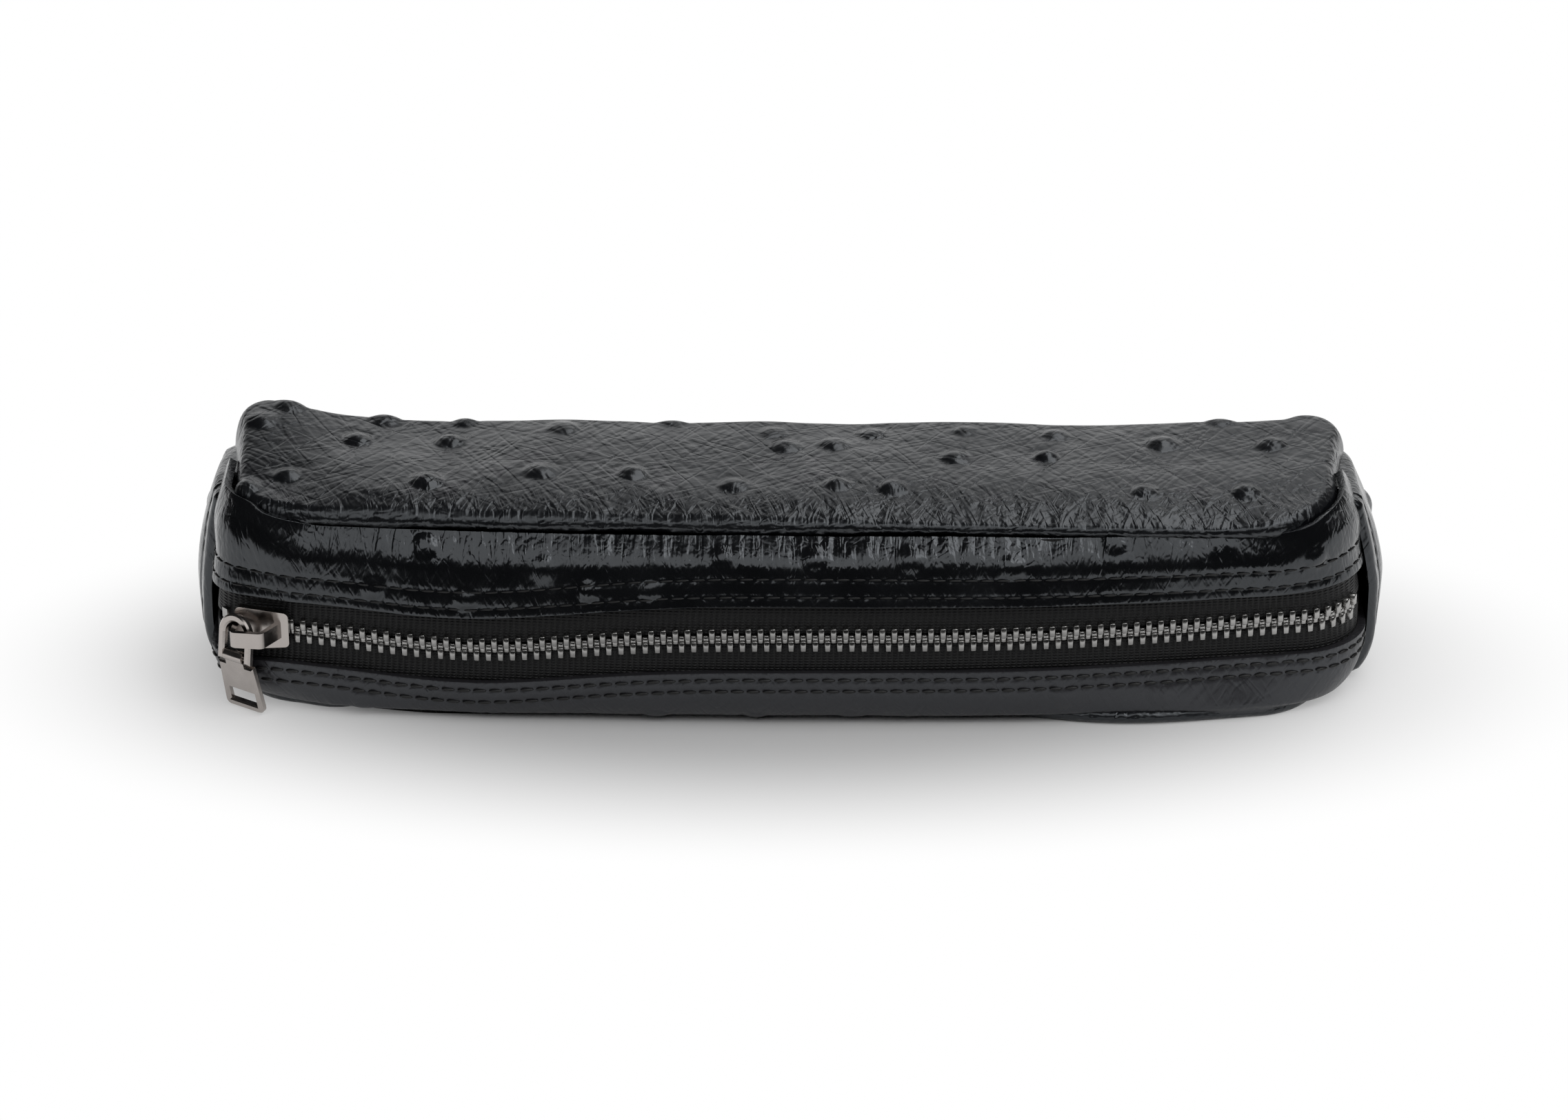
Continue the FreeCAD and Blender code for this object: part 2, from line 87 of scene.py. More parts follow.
towards_camera = Vector((0, -math.cos(CAMERA_ELEVATION), math.sin(CAMERA_ELEVATION)))
bpy.ops.object.camera_add(location=CAMERA_TARGET + towards_camera * CAMERA_DISTANCE)
camera = bpy.context.object
camera.rotation_euler = (math.pi / 2 - CAMERA_ELEVATION, 0, 0)
camera.data.sensor_width = SENSOR
camera.data.lens = FOCAL_PIXELS / PHOTO_WIDTH * SENSOR
bpy.context.scene.camera = camera
print("lens", round(camera.data.lens, 1), "mm")

# %% [markdown]
# Every material is built from nodes. One function turns a written sRGB colour to the linear value that
# the shader needs, one adds a node with its settings and links, and one starts a new material.

# %% Material helpers
def linear(hex_colour):
    """Linear RGBA of an sRGB hex colour."""
    channels = [int(hex_colour[i:i + 2], 16) / 255 for i in (1, 3, 5)]
    return [c / 12.92 if c <= 0.04045 else ((c + 0.055) / 1.055) ** 2.4 for c in channels] + [1.0]


def node(tree, kind, inputs=None, **settings):
    """Add a node with its settings. An input is a value, or another node's output to link."""
    made = tree.nodes.new("ShaderNode" + kind)
    for name, value in settings.items():
        setattr(made, name, value)
    for name, value in (inputs or {}).items():
        if isinstance(value, bpy.types.NodeSocket):
            tree.links.new(value, made.inputs[name])
        else:
            made.inputs[name].default_value = value
    return made


def new_material(name):
    """Empty material with its node tree, its Principled shader and a coordinate node."""
    material = bpy.data.materials.new(name)
    material.use_nodes = True
    tree = material.node_tree
    return material, tree, tree.nodes["Principled BSDF"], node(tree, "TexCoord")


def per_metre(size_mm):
    """Texture scale whose features are about that many millimetres apart."""
    return 1 / (size_mm * MM)


print("mid grey is", round(linear("#808080")[0], 3), "in linear light")

# %% [markdown]
# Black chrome-tanned calf, pressed between plates to the ostrich grain and sealed with a semi-gloss
# topcoat. The eye sees soft broad reflections broken up by long thin creases that cross each other. The
# quill bumps and larger folds are real geometry. A crease is a groove along the middle value of a noise
# that is stretched in one direction. The point attribute called pull adds short lines that run down from
# a tight seam, leaning both ways so that they cross. The topcoat's IOR is higher than a plain lacquer's,
# which is how the gloss was matched. The panels are slightly rougher than the tight upper band, and the
# lower band is the dullest. The lower band is the same leather, but its base colour is painted paler: a
# painted reflection of the white floor in front of it.

# %% Leather material
# Sizes are in millimetres and leans in radians.
CREASE_HEIGHT = 0.07
STREAK_WIDTH, STREAK_LENGTH = 1.5, 11
STREAK_LEANS = 0.40, -0.45
CREASES_WHERE_TIGHT = 0.85
CLOUD_SIZE = 9
TOPCOAT_IOR = 1.65


def creases(tree, where, turn, width, length, depth):
    """Height of long thin grooves that run in one direction, with sizes in millimetres."""
    angles = tuple(math.radians(angle) for angle in turn)
    along = node(tree, "Mapping", {"Vector": where.outputs["Object"], "Rotation": angles,
                                   "Scale": (length * MM, width * MM, width * MM)}, vector_type="TEXTURE")
    grain = node(tree, "TexNoise", {"Vector": along.outputs[0], "Scale": 1.0, "Detail": 1.0, "Roughness": 0.5,
                                    "Distortion": 0.3})
    off = node(tree, "Math", {0: grain.outputs[0], 1: 0.5}, operation="SUBTRACT")
    away = node(tree, "Math", {0: off.outputs[0]}, operation="ABSOLUTE")
    groove = node(tree, "MapRange", {"Value": away.outputs[0], "From Max": 0.15, "To Min": -depth,
                                     "To Max": 0.0}, interpolation_type="SMOOTHSTEP")
    return groove.outputs[0]


def pressed_calf(name, colour, roughness, crease_sets, crinkle):
    """Pressed leather with crossing creases, and streaks where it is tight. crinkle is their strength."""
    material, tree, shader, where = new_material(name)
    heights = [creases(tree, where, *settings) for settings in crease_sets]
    leaning = []
    long = STREAK_LENGTH * MM
    for lean in STREAK_LEANS:
        drawn = node(tree, "Mapping", {"Vector": where.outputs["Object"], "Rotation": (0, lean, lean),
                                       "Scale": (STREAK_WIDTH * MM, long, long)}, vector_type="TEXTURE")
        leaning.append(node(tree, "TexNoise", {"Vector": drawn.outputs[0], "Scale": 1.0, "Detail": 2.0,
                                               "Roughness": 0.6, "Distortion": 0.6}))
    streak = node(tree, "Math", {0: leaning[0].outputs[0], 1: leaning[1].outputs[0]}, operation="MAXIMUM")
    pull = node(tree, "Attribute", attribute_name="pull")
    strength = node(tree, "Math", {0: pull.outputs["Fac"], 1: crinkle}, operation="MULTIPLY")
    streaks = node(tree, "Math", {0: streak.outputs[0], 1: strength.outputs[0]}, operation="MULTIPLY")
    total = heights[0]
    for height in heights[1:]:
        total = node(tree, "Math", {0: total, 1: height}, operation="ADD").outputs[0]
    slack = node(tree, "MapRange", {"Value": pull.outputs["Fac"], "To Min": 1.0,
                                    "To Max": CREASES_WHERE_TIGHT})
    loose = node(tree, "Math", {0: total, 1: slack.outputs[0]}, operation="MULTIPLY")
    total = node(tree, "Math", {0: loose.outputs[0], 1: streaks.outputs[0]}, operation="ADD").outputs[0]
    bump = node(tree, "Bump", {"Height": total, "Distance": CREASE_HEIGHT * MM, "Strength": 1.0})
    cloud = node(tree, "TexNoise", {"Vector": where.outputs["Object"], "Scale": per_metre(CLOUD_SIZE),
                                    "Detail": 3.0})
    rough = node(tree, "MapRange", {"Value": cloud.outputs[0], "From Min": 0.3, "From Max": 0.7,
                                    "To Min": roughness - 0.05, "To Max": roughness + 0.07})
    dark, light = (linear(shade) for shade in colour)
    tint = node(tree, "Mix", {0: cloud.outputs[0], 6: dark, 7: light}, data_type="RGBA")
    tree.links.new(tint.outputs[2], shader.inputs["Base Color"])
    tree.links.new(rough.outputs[0], shader.inputs["Roughness"])
    tree.links.new(bump.outputs[0], shader.inputs["Normal"])
    shader.inputs["IOR"].default_value = TOPCOAT_IOR
    shader.inputs["Specular Tint"].default_value = linear("#eef4fa")
    return material


# Each set of creases is its turn in degrees, then its width, length and depth.
PANEL_CREASES = [((0, 0, 56), 2.4, 22, 0.8), ((0, 0, -60), 2.6, 22, 0.8),
                 ((0, 0, 24), 2.2, 18, 0.6), ((0, 0, -32), 2.6, 18, 0.6)]
BAND_CREASES = [((0, 58, 0), 1.7, 10, 0.35), ((0, -52, 0), 1.9, 10, 0.35), ((0, 80, 0), 1.4, 8, 0.4)]
LOWER_CREASES = [((0, 58, 0), 1.7, 10, 0.5), ((0, -52, 0), 1.9, 10, 0.5)]
# The panels lie slack, so their gloss is soft and their creases are the deepest.
panel_leather = pressed_calf("pressed_calf_panel", ("#0d0e11", "#141518"), 0.27, PANEL_CREASES, 6.0)
# The upper band and the gusset are drawn smooth, so they mirror the room most clearly.
band_leather = pressed_calf("pressed_calf_band", ("#0a0b0d", "#111215"), 0.19, BAND_CREASES, 7.0)
# The lower band is duller, and its base colour is painted paler than the same leather elsewhere: a painted
# reflection of the white floor in front of it.
lower_leather_painted_reflection = pressed_calf("pressed_calf_lower_band_painted_reflection", ("#242326", "#2e2d30"), 0.36, LOWER_CREASES, 4.0)
print("leathers", panel_leather.name, band_leather.name, lower_leather_painted_reflection.name)

# %% [markdown]
# The wall of the bag is one surface that runs all the way round. Half way up it follows the zip, which is
# a long shallow arc with a corner at each end. Its seams at the top and bottom follow the outlines of the
# side panels, and the bottom outline has rounder corners. So the wall is drawn as stations along the zip
# line, each joined straight inwards to the two seams by a bulged section.

# %% Plan lines, in millimetres
ZIP_ARC = 600.0
zip_axis = Vector(joints["zip_slide"]["axis"])
zip_pivot = np.array(joints["zip_slide"]["pos_m"]) / MM
ZIP_SLOPE = -zip_axis.x / zip_axis.z
WALL_X = {-1: 97.0, 1: 98.0}
WALL_BACK = 22.15
CORNER_LEFT, CORNER_RIGHT, CORNER_BACK = 6.6, 12.0, 12.0
SEAM_X, SEAM_FRONT, SEAM_BACK = 93.4, -17.9, 20.4
TOP_CORNERS = 12.0, 14.0, 6.0
BOTTOM_CORNERS = 25.0, 19.0, 10.0
SEAM_BOTTOM = 1.4
SLANT = 0.022
STATIONS = 1200
ARC_POINTS = 90


def arc(centre, radius, start, end):
    """Points of an arc in plan between two angles in degrees."""
    turn = np.radians(np.linspace(start, end, ARC_POINTS))
    return np.column_stack([centre[0] + radius * np.cos(turn), centre[1] + radius * np.sin(turn)])


def run_along(line):
    """Length along a line of points, up to each of them."""
    return np.concatenate([[0], np.cumsum(np.linalg.norm(np.diff(line, axis=0), axis=1))])


def evenly(points, count):
    """Points of a closed line, spread evenly along it."""
    closed = np.vstack([points, points[:1]])
    length = run_along(closed)
    at = np.linspace(0, length[-1], count, endpoint=False)
    return np.column_stack([np.interp(at, length, closed[:, i]) for i in range(closed.shape[1])])


def zip_corner(side, corner):
    """Centre of the corner arc at one end of the zip, and the angle where it leaves the long arc."""
    inner = ZIP_ARC - corner
    angle = math.asin((WALL_X[side] - corner - side * zip_pivot[0]) / inner)
    centre = side * (WALL_X[side] - corner), zip_pivot[1] - inner * math.cos(angle)
    return centre, math.degrees(angle)


left_centre, left_angle = zip_corner(-1, CORNER_LEFT)
right_centre, right_angle = zip_corner(1, CORNER_RIGHT)
back_y = WALL_BACK - CORNER_BACK
zip_line = np.vstack([
    arc((CORNER_BACK - WALL_X[-1], back_y), CORNER_BACK, 90, 180),
    arc(left_centre, CORNER_LEFT, 180, 270 - left_angle),
    arc(zip_pivot, ZIP_ARC, 270 - left_angle, 270 + right_angle),
    arc(right_centre, CORNER_RIGHT, 270 + right_angle, 360),
    arc((WALL_X[1] - CORNER_BACK, back_y), CORNER_BACK, 0, 90),
])
print("zip line of", len(zip_line), "points")

# %% Stations and seams
SLANT_DEPTH = 18


def smooth(value, low, high):
    """Smooth step from 0 to 1 between two values."""
    t = np.clip((value - low) / (high - low), 0, 1)
    return t * t * (3 - 2 * t)


def outline(left, right, back):
    """Rounded outline of the side panels, with the radius of each front corner and of the back corners."""
    line = np.vstack([
        arc((-SEAM_X + left, SEAM_FRONT + left), left, 180, 270),
        arc((SEAM_X - right, SEAM_FRONT + right), right, 270, 360),
        arc((SEAM_X - back, SEAM_BACK - back), back, 0, 90),
        arc((-SEAM_X + back, SEAM_BACK - back), back, 90, 180),
    ])
    line[:, 1] -= SLANT * line[:, 0] * smooth(-line[:, 1], 0, SLANT_DEPTH)
    return line


def outward_of(line):
    """Unit vectors that point out of a closed line at each of its points."""
    ahead = np.roll(line, -3, axis=0) - np.roll(line, 3, axis=0)
    out = np.column_stack([ahead[:, 1], -ahead[:, 0]])
    return out / np.linalg.norm(out, axis=1)[:, None]


zip_points = evenly(zip_line, STATIONS)
outward = outward_of(zip_points)
SPACING = np.linalg.norm(zip_points[1] - zip_points[0])


def meet(starts, directions, line):
    """How far rays in plan go before they meet a closed line."""
    ends = np.roll(line, -1, axis=0)
    found = []
    for start, direction in zip(starts, directions):
        across = np.array([-direction[1], direction[0]])
        a, b = (line - start) @ across, (ends - start) @ across
        share = a / np.where(a == b, 1e-9, a - b)
        reach = (line + share[:, None] * (ends - line) - start) @ direction
        hits = (a * b <= 0) & (reach > -4)
        found.append(reach[hits].min() if hits.any() else 0)
    return np.array(found)


inset_top = meet(zip_points, -outward, outline(*TOP_CORNERS))
inset_bottom = meet(zip_points, -outward, outline(*BOTTOM_CORNERS))
print("stations", STATIONS, "every", SPACING.round(3), "mm")
print("top seam inside the zip by up to", inset_top.max().round(2), "mm")
print("bottom seam inside the zip by up to", inset_bottom.max().round(2), "mm")

# %% [markdown]
# Between the zip and each seam the wall bulges. Its section is a power curve that leans in steadily above
# the zip, where the leather is drawn up, and stays full below it, where the bag sags onto the table. The
# zip itself hangs in two slack dips.

# %% Wall surface
BOTTOM_SAG = 2.2
WALL_ROUND = 0.78
BULGE_ABOVE, BULGE_BELOW = 1.3, 4.5
NEAREST_SEAM = 0.9985
SEAM_TOP = 35.0


def station(at, table):
    """Value of a closed table at stations, which may be fractions and may pass the end."""
    low = np.floor(at).astype(int)
    share = at - low
    first, second = table[low % STATIONS], table[(low + 1) % STATIONS]
    if table.ndim > 1:
        share = share[:, None]
    return first * (1 - share) + second * share


def zip_height(x):
    """Height of the zip: its hinge plane, with a slack dip left of the middle and a smaller one right."""
    dip = 2.6 * np.exp(-((x + 54) / 24) ** 2) + 0.7 * np.exp(-((x - 45) / 32) ** 2)
    return zip_pivot[2] + ZIP_SLOPE * (x - zip_pivot[0]) - dip


def seam_top(x):
    """Height of the top seam, which is higher where the case is full, at the slider's end."""
    return SEAM_TOP + 0.8 * smooth(-x, 20, 85) - 0.2 * smooth(x, 20, 70)


def wall(at, up, lift=0.0):
    """Points of the wall at stations, with up from -1 at the bottom seam to 1 at the top seam."""
    point, out = station(at, zip_points), station(at, outward)
    inset = np.where(up > 0, station(at, inset_top), station(at, inset_bottom))
    power = np.where(up > 0, BULGE_ABOVE, BULGE_BELOW)
    size = np.clip(np.abs(up), 0, NEAREST_SEAM)
    left = 1 - size ** power
    spread = np.where(up < 0, BOTTOM_SAG * up ** 2, 0) * np.clip(-out[:, 1], 0, 1)
    plan = point - out * (inset * (1 - left ** WALL_ROUND) - spread)[:, None]
    middle = zip_height(point[:, 0])
    high = np.where(up > 0, seam_top(point[:, 0]) - middle, middle - SEAM_BOTTOM)
    slope = np.sign(up) * inset * WALL_ROUND * left ** (WALL_ROUND - 1) * power * size ** (power - 1)
    steep = np.hypot(high, slope)
    plan = plan + out * (lift * high / steep)[:, None]
    return np.column_stack([plan, middle + up * high + lift * slope / steep])


def rise(at, up_mm):
    """Value of up that is so many millimetres above or below the zip."""
    return up_mm / room(at, up_mm)


def room(at, side):
    """Height between the zip and the seam above it, or below it where side is negative."""
    x = station(at, zip_points)[:, 0]
    return np.where(side > 0, seam_top(x) - zip_height(x), zip_height(x) - SEAM_BOTTOM)


def station_near(x, y):
    """Number of the station closest to a place in plan."""
    return int(np.argmin(np.linalg.norm(zip_points - np.array((x, y)), axis=1)))


HEM_LEFT = station_near(-WALL_X[-1], -3.5)
HEM_RIGHT = station_near(WALL_X[1], -6.8)
print("hems at stations", HEM_LEFT, HEM_RIGHT)

# %% [markdown]
# Each piece of leather starts as a flat grid, as a cut piece of leather does, and is laid on its curved
# surface vertex by vertex. Solidify then gives it the leather's thickness on the inside, and Bevel rounds
# its cut rims.

# %% Laying a grid on a surface
FLOOR_GAP = 0.03


def lumps(points, size, seed):
    """Soft noise between about -1 and 1, with features of a size in millimetres."""
    return np.array([noise.noise(Vector(point) / size + Vector((seed, 0, 0))) for point in points])


def lay(name, columns, rows, shape):
    """New grid laid on a surface. shape takes u and v from 0 to 1 and returns points in millimetres."""
    bpy.ops.object.select_all(action="DESELECT")
    bpy.ops.mesh.primitive_grid_add(x_subdivisions=columns, y_subdivisions=rows, size=1, location=(0, 0, 0))
    piece = bpy.context.object
    piece.name = name
    flat = np.empty(len(piece.data.vertices) * 3, np.float32)
    piece.data.vertices.foreach_get("co", flat)
    flat = flat.reshape(-1, 3).astype(float)
    place(piece, shape(flat[:, 0] + 0.5, flat[:, 1] + 0.5))
    return piece


def place(piece, points):
    """Move a piece's vertices to points in millimetres, none of them below the floor."""
    points[:, 2] = np.maximum(points[:, 2], FLOOR_GAP)
    piece.data.vertices.foreach_set("co", (points * MM).astype(np.float32).ravel())
    piece.data.update()


def places(piece):
    """Vertices of a piece and their normals, in millimetres."""
    count = len(piece.data.vertices)
    points, normals = np.empty(count * 3, np.float32), np.empty(count * 3, np.float32)
    piece.data.vertices.foreach_get("co", points)
    piece.data.vertex_normals.foreach_get("vector", normals)
    return points.reshape(-1, 3).astype(float) / MM, normals.reshape(-1, 3).astype(float)


def mark(piece, values):
    """Store how tightly the leather is drawn at each vertex, from 0 to 1."""
    piece.data.attributes.new("pull", "FLOAT", "POINT").data.foreach_set("value", values.astype(np.float32))


def choose(piece):
    """Make one piece the only one selected, and active."""
    bpy.ops.object.select_all(action="DESELECT")
    piece.select_set(True)
    bpy.context.view_layer.objects.active = piece


def close(piece):
    """Merge the edges of a grid where they meet."""
    choose(piece)
    bpy.ops.object.mode_set(mode="EDIT")
    bpy.ops.mesh.select_all(action="SELECT")
    bpy.ops.mesh.remove_doubles(threshold=0.01 * MM)
    bpy.ops.object.mode_set(mode="OBJECT")


# %% Thickness and hand-over
RIM_ANGLE = math.radians(60)


def thicken(piece, thickness, rim):
    """Give a sheet its thickness on the inside, with rounded rims above the floor, and shade it smooth."""
    choose(piece)
    wall_modifier = piece.modifiers.new("thickness", "SOLIDIFY")
    wall_modifier.thickness = thickness * MM
    wall_modifier.offset = -1
    bpy.ops.object.modifier_apply(modifier="thickness")
    if rim:
        edge = piece.modifiers.new("rim", "BEVEL")
        edge.width = rim * MM
        edge.segments = 3
        edge.limit_method = "ANGLE"
        edge.angle_limit = RIM_ANGLE
        bpy.ops.object.modifier_apply(modifier="rim")
    place(piece, places(piece)[0])
    bpy.ops.object.shade_smooth()


LIPS = {1: ("upper_lip", 0.0350), -1: ("lower_lip", 0.0021)}


def finish(piece, material, carrier, slot, *nodes):
    """Give a piece its material, and hide the CAD nodes it stands in for. The slot argument is not used.

    Its carrier is the body that it rides on, or 1 or -1 for the upper or lower lip, where it is only fixed in
    place."""
    piece.data.materials.clear()
    piece.data.materials.append(material)
    if carrier in LIPS:
        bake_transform(piece)
    else:
        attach(piece, carrier)
    if nodes:
        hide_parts(*nodes)
    print(piece.name, len(piece.data.polygons), "faces")


print("lips", LIPS)

# %% [markdown]
# The raised quill marks of the grain are small domes with a shallow moat round each. They are moved along
# the surface's own normals before the leather is thickened, so that they catch the light at the rim too.

# %% Quill marks
QUILL_HEIGHT, QUILL_RADIUS = 0.95, 2.8
# The moat and the reach are shares of a quill's height and radius.
MOAT_DEPTH, MOAT_RADIUS, MOAT_WIDTH = 0.08, 1.1, 0.25
QUILL_REACH = 2.6


def raise_quills(piece, centres, seed, tall=QUILL_HEIGHT, wide=QUILL_RADIUS):
    """Raise domes at centres, each a point in millimetres near the surface."""
    points, normals = places(piece)
    random.seed(seed)
    lift = np.zeros(len(points))
    for centre in centres:
        nearest = points[np.argmin(np.linalg.norm(points - np.array(centre), axis=1))]
        radius = wide * random.uniform(0.85, 1.15)
        height = tall * random.uniform(0.8, 1.1)
        away = np.linalg.norm(points - nearest, axis=1) / radius
        dome = np.clip(1 - away ** 2, 0, 1) ** 1.25
        moat = MOAT_DEPTH * np.exp(-((away - MOAT_RADIUS) / MOAT_WIDTH) ** 2)
        lift = np.where(away < QUILL_REACH, lift + height * (dome - moat), lift)
    place(piece, points + normals * lift[:, None])
    print(piece.name, "has", len(centres), "quill marks")


# %% [markdown]
# A side panel is cut as a rounded rectangle and turned in at its edge over a soft roll. Its grid runs in
# loops from the seam over the roll to a line along the middle. The loops' stations are matched across that
# line, so the two halves of the grid meet vertex to vertex and close without a crease.

# %% Panel surface
PANEL_CORNERS = 9.0, 13.0, 6.0
MIDDLE_LEFT, MIDDLE_RIGHT, MIDDLE_Y = -68.0, 74.0, 1.2
TUCK_SHARE, ROLL_SHARE = 0.07, 0.25
TUCK_RADIUS, TUCK_TURN = 1.1, 115
ROLL_ENDS, ROLL_FRONT = 0.75, 1.0
ROLL_TURN, ROLL_TURN_FRONT = 86, 76
ROLL_WIDEST = 3.4
FRONT_FADES = (-86, -66), (-82, -62)

panel_line = evenly(outline(*PANEL_CORNERS), STATIONS)
panel_outward = outward_of(panel_line)


def straight_station(x, side):
    """Station of the straight front (side -1) or back (side 1) of the panel at x."""
    table = np.where(panel_outward[:, 1] * side > 0.999, panel_line[:, 0], np.nan)
    known = np.where(~np.isnan(table))[0]
    first, last = known[0], known[-1]
    return first + (x - panel_line[first, 0]) / (panel_line[last, 0] - panel_line[first, 0]) * (last - first)


front_ends = straight_station(MIDDLE_LEFT, -1), straight_station(MIDDLE_RIGHT, -1)
back_ends = straight_station(MIDDLE_RIGHT, 1), straight_station(MIDDLE_LEFT, 1)
loop_knots = np.array([front_ends[0], front_ends[1], back_ends[0], back_ends[1], front_ends[0] + STATIONS])
loop_shares = np.array([0.0, 0.34, 0.49, 0.83, 1.0])


def panel_points(u, v, height, rim, edge_out):
    """Points of a panel: u goes round its outline, v from the tucked edge over the roll to the middle line.

    height gives the skin at a place in plan, rim the height of its widest line, edge_out how far that
    line stands outside the outline."""
    at = np.interp(u, loop_shares, loop_knots)
    foot, out = station(at, panel_line), station(at, panel_outward)
    tuck = np.radians(-TUCK_TURN * (1 - np.clip(v / TUCK_SHARE, 0, 1)))
    beyond = foot + out * edge_out(foot, out)[:, None]
    low = rim(beyond[:, 0], beyond[:, 1])
    left_fade, right_fade = FRONT_FADES
    along_front = (out[:, 1] < -0.9) * smooth(foot[:, 0], *left_fade) * smooth(-foot[:, 0], *right_fade)
    soft = ROLL_ENDS + (ROLL_FRONT - ROLL_ENDS) * along_front
    full_turn = ROLL_TURN - (ROLL_TURN - ROLL_TURN_FRONT) * along_front
    turn = np.radians(full_turn * np.clip((v - TUCK_SHARE) / (ROLL_SHARE - TUCK_SHARE), 0, 1))
    wide = soft * np.minimum(np.abs(height(foot[:, 0], foot[:, 1]) - low), ROLL_WIDEST)
    edge = beyond + out * (TUCK_RADIUS * (np.cos(tuck) - 1) + wide * (np.cos(turn) - 1))[:, None]
    middle = np.column_stack([np.clip(edge[:, 0], MIDDLE_LEFT, MIDDLE_RIGHT), np.full(len(u), MIDDLE_Y)])
    inwards = np.clip((v - ROLL_SHARE) / (1 - ROLL_SHARE), 0, 1)
    plan = edge + (middle - edge) * inwards[:, None]
    top = height(plan[:, 0], plan[:, 1])
    share = np.sin(turn) + (1 - np.sin(turn)) * smooth(inwards, 0, 0.3)
    side = np.sign(top - low)
    return np.column_stack([plan, low + side * TUCK_RADIUS * np.sin(tuck) + (top - low) * share])


print("panel loops of", len(panel_line), "stations")

# %% [markdown]
# The upper panel sags along its middle, its back corners stand up and its front edge falls away.
# Each of these is one soft hump or hollow added to a flat height. Slow noise then gives the slack that
# real leather has, and the quill marks go on last, with the far ones made lower.

# %% Upper side panel
CROWN_HEIGHT, CROWN_DROP = 38.5, 2.3
RIM_DROP = 1.3
PANEL_THICKNESS, PANEL_RIM = 0.9, 0.2
FAR_QUILL_HEIGHT, FAR_QUILLS_FROM = 0.6, 11


def upper_height(x, y):
    """Height of the upper panel's skin: a slack crown with lifted back corners and lower front corners."""
    back = smooth(y, -4, 17)
    tall = CROWN_HEIGHT - 0.008 * (x + 20)
    tall = tall + 2.7 * np.exp(-((x + 90) / 11) ** 2) * back
    tall = tall + 1.1 * np.exp(-((x - 92) / 9) ** 2) * back
    tall = tall - 1.6 * np.exp(-((x + 91) / 13) ** 2) * smooth(-y, -2, 12)
    tall = tall - 1.0 * np.exp(-((x - 91) / 10) ** 2) * smooth(-y, 0, 12)
    sag = 0.7 * np.clip(1 - (x / 90) ** 4, 0, 1)
    return tall - sag - CROWN_DROP * np.clip((-2 - y) / 16, 0, 1.3) ** 2 * smooth(95 - np.abs(x), 4, 22)


def upper_rim(x, y):
    """Height of the upper panel's widest line, a little below the wall's top and lower at the left front."""
    return seam_top(x) - RIM_DROP - 1.0 * np.exp(-((x + 88) / 6) ** 2) * smooth(-y, 3, 13)


def upper_edge(foot, out):
    """How far the panel stands out over its seam: more at the back corners, less at the front ones."""
    back = np.clip((foot[:, 1] + 11) / 31, 0, 1) ** 2
    flare = (0.3 + np.where(out[:, 0] < 0, 2.6, 4.8) * back) * np.abs(out[:, 0])
    drawn = 0.9 * np.exp(-((np.abs(foot[:, 0]) - 89) / 6) ** 2) * smooth(-foot[:, 1], 4, 14)
    return 0.3 + flare - drawn


upper_panel = lay("upper_side_panel_leather", 800, 50,
                  lambda u, v: panel_points(u, v, upper_height, upper_rim, upper_edge))
close(upper_panel)
points, normals = places(upper_panel)
front = smooth(-points[:, 1], 3, 14)
fine = lumps(points * (1 / 1.5, 1 / 7, 1 / 7), 1, 13)
slack = 0.6 * lumps(points, 21, 3) + 0.15 * lumps(points, 7, 8) + 0.12 * front * fine
place(upper_panel, points + normals * slack[:, None])
mark(upper_panel, front * smooth(points[:, 2], 33, 35))
TOP_QUILLS = [
    (-91, 12), (-86, 18), (-70, 18), (-56, 18), (-74, 9), (-58, 10), (-92, -9), (-85, -5), (-61, -7),
    (-42, -3), (-26, -3), (-39, 15), (-20, 21), (-9, -7), (9, -7), (18, -8), (-2, 14), (0, 8), (15, 14),
    (8, 9), (31, 15), (29, 4), (47, 14), (45, 5), (61, -9), (65, 10), (78, -9), (76, 20), (84, 9)]
for far, tall in ((False, QUILL_HEIGHT), (True, FAR_QUILL_HEIGHT)):
    chosen = [(x, y, upper_height(x, y)) for x, y in TOP_QUILLS if (y > FAR_QUILLS_FROM) == far]
    raise_quills(upper_panel, chosen, 5, tall)
thicken(upper_panel, PANEL_THICKNESS, PANEL_RIM)
finish(upper_panel, panel_leather, "case", "black_leather", "upper_side_panel")

# %% Lower side panel
LOWER_SKIN, LOWER_RIM = 0.02, 1.3


def lower_edge(foot, out):
    """The lower panel lies inside its outline, with two lobes that peep out under the front."""
    lobes = 2.4 * np.exp(-((foot[:, 0] + 77) / 6) ** 2) + 5.6 * np.exp(-((foot[:, 0] - 58) / 24) ** 2)
    return -1.2 + (lobes + 0.6) * np.clip(-out[:, 1], 0, 1)


lower_panel = lay("lower_side_panel_leather", 420, 34, lambda u, v: panel_points(
    1 - u, v, lambda x, y: LOWER_SKIN + 0 * x, lambda x, y: LOWER_RIM + 0 * x, lower_edge))
close(lower_panel)
thicken(lower_panel, PANEL_THICKNESS, PANEL_RIM)
finish(lower_panel, panel_leather, "case", "black_leather", "lower_side_panel")

# %% [markdown]
# The two zip bands are strips of the same leather along the zip, folded at the zip and sewn down with two
# rows of stitches. The upper one is pulled tight into its seam, where it puckers in short folds.

# %% Zip bands
LEATHER = 1.4
BAND_RIM = 0.5
BAND_EDGE = 5.6
BAND_LIFT = 1.75
BAND_TOP = 0.905
DRAWN_FROM = {1: 0.62, -1: 0.88}
SHOULDER_PUFF = 1.4
STITCH_DIP, STITCH_PUCKER, STITCH_VALLEY = 0.07, 0.12, 0.38
BAND_ROWS = {1: (1.6, 4.5), -1: (1.3, 3.2)}
STITCH_STEP = 2.7
# Stations that a band goes on for under each hem.
TUCK = 20
ROW_SAMPLES = 900


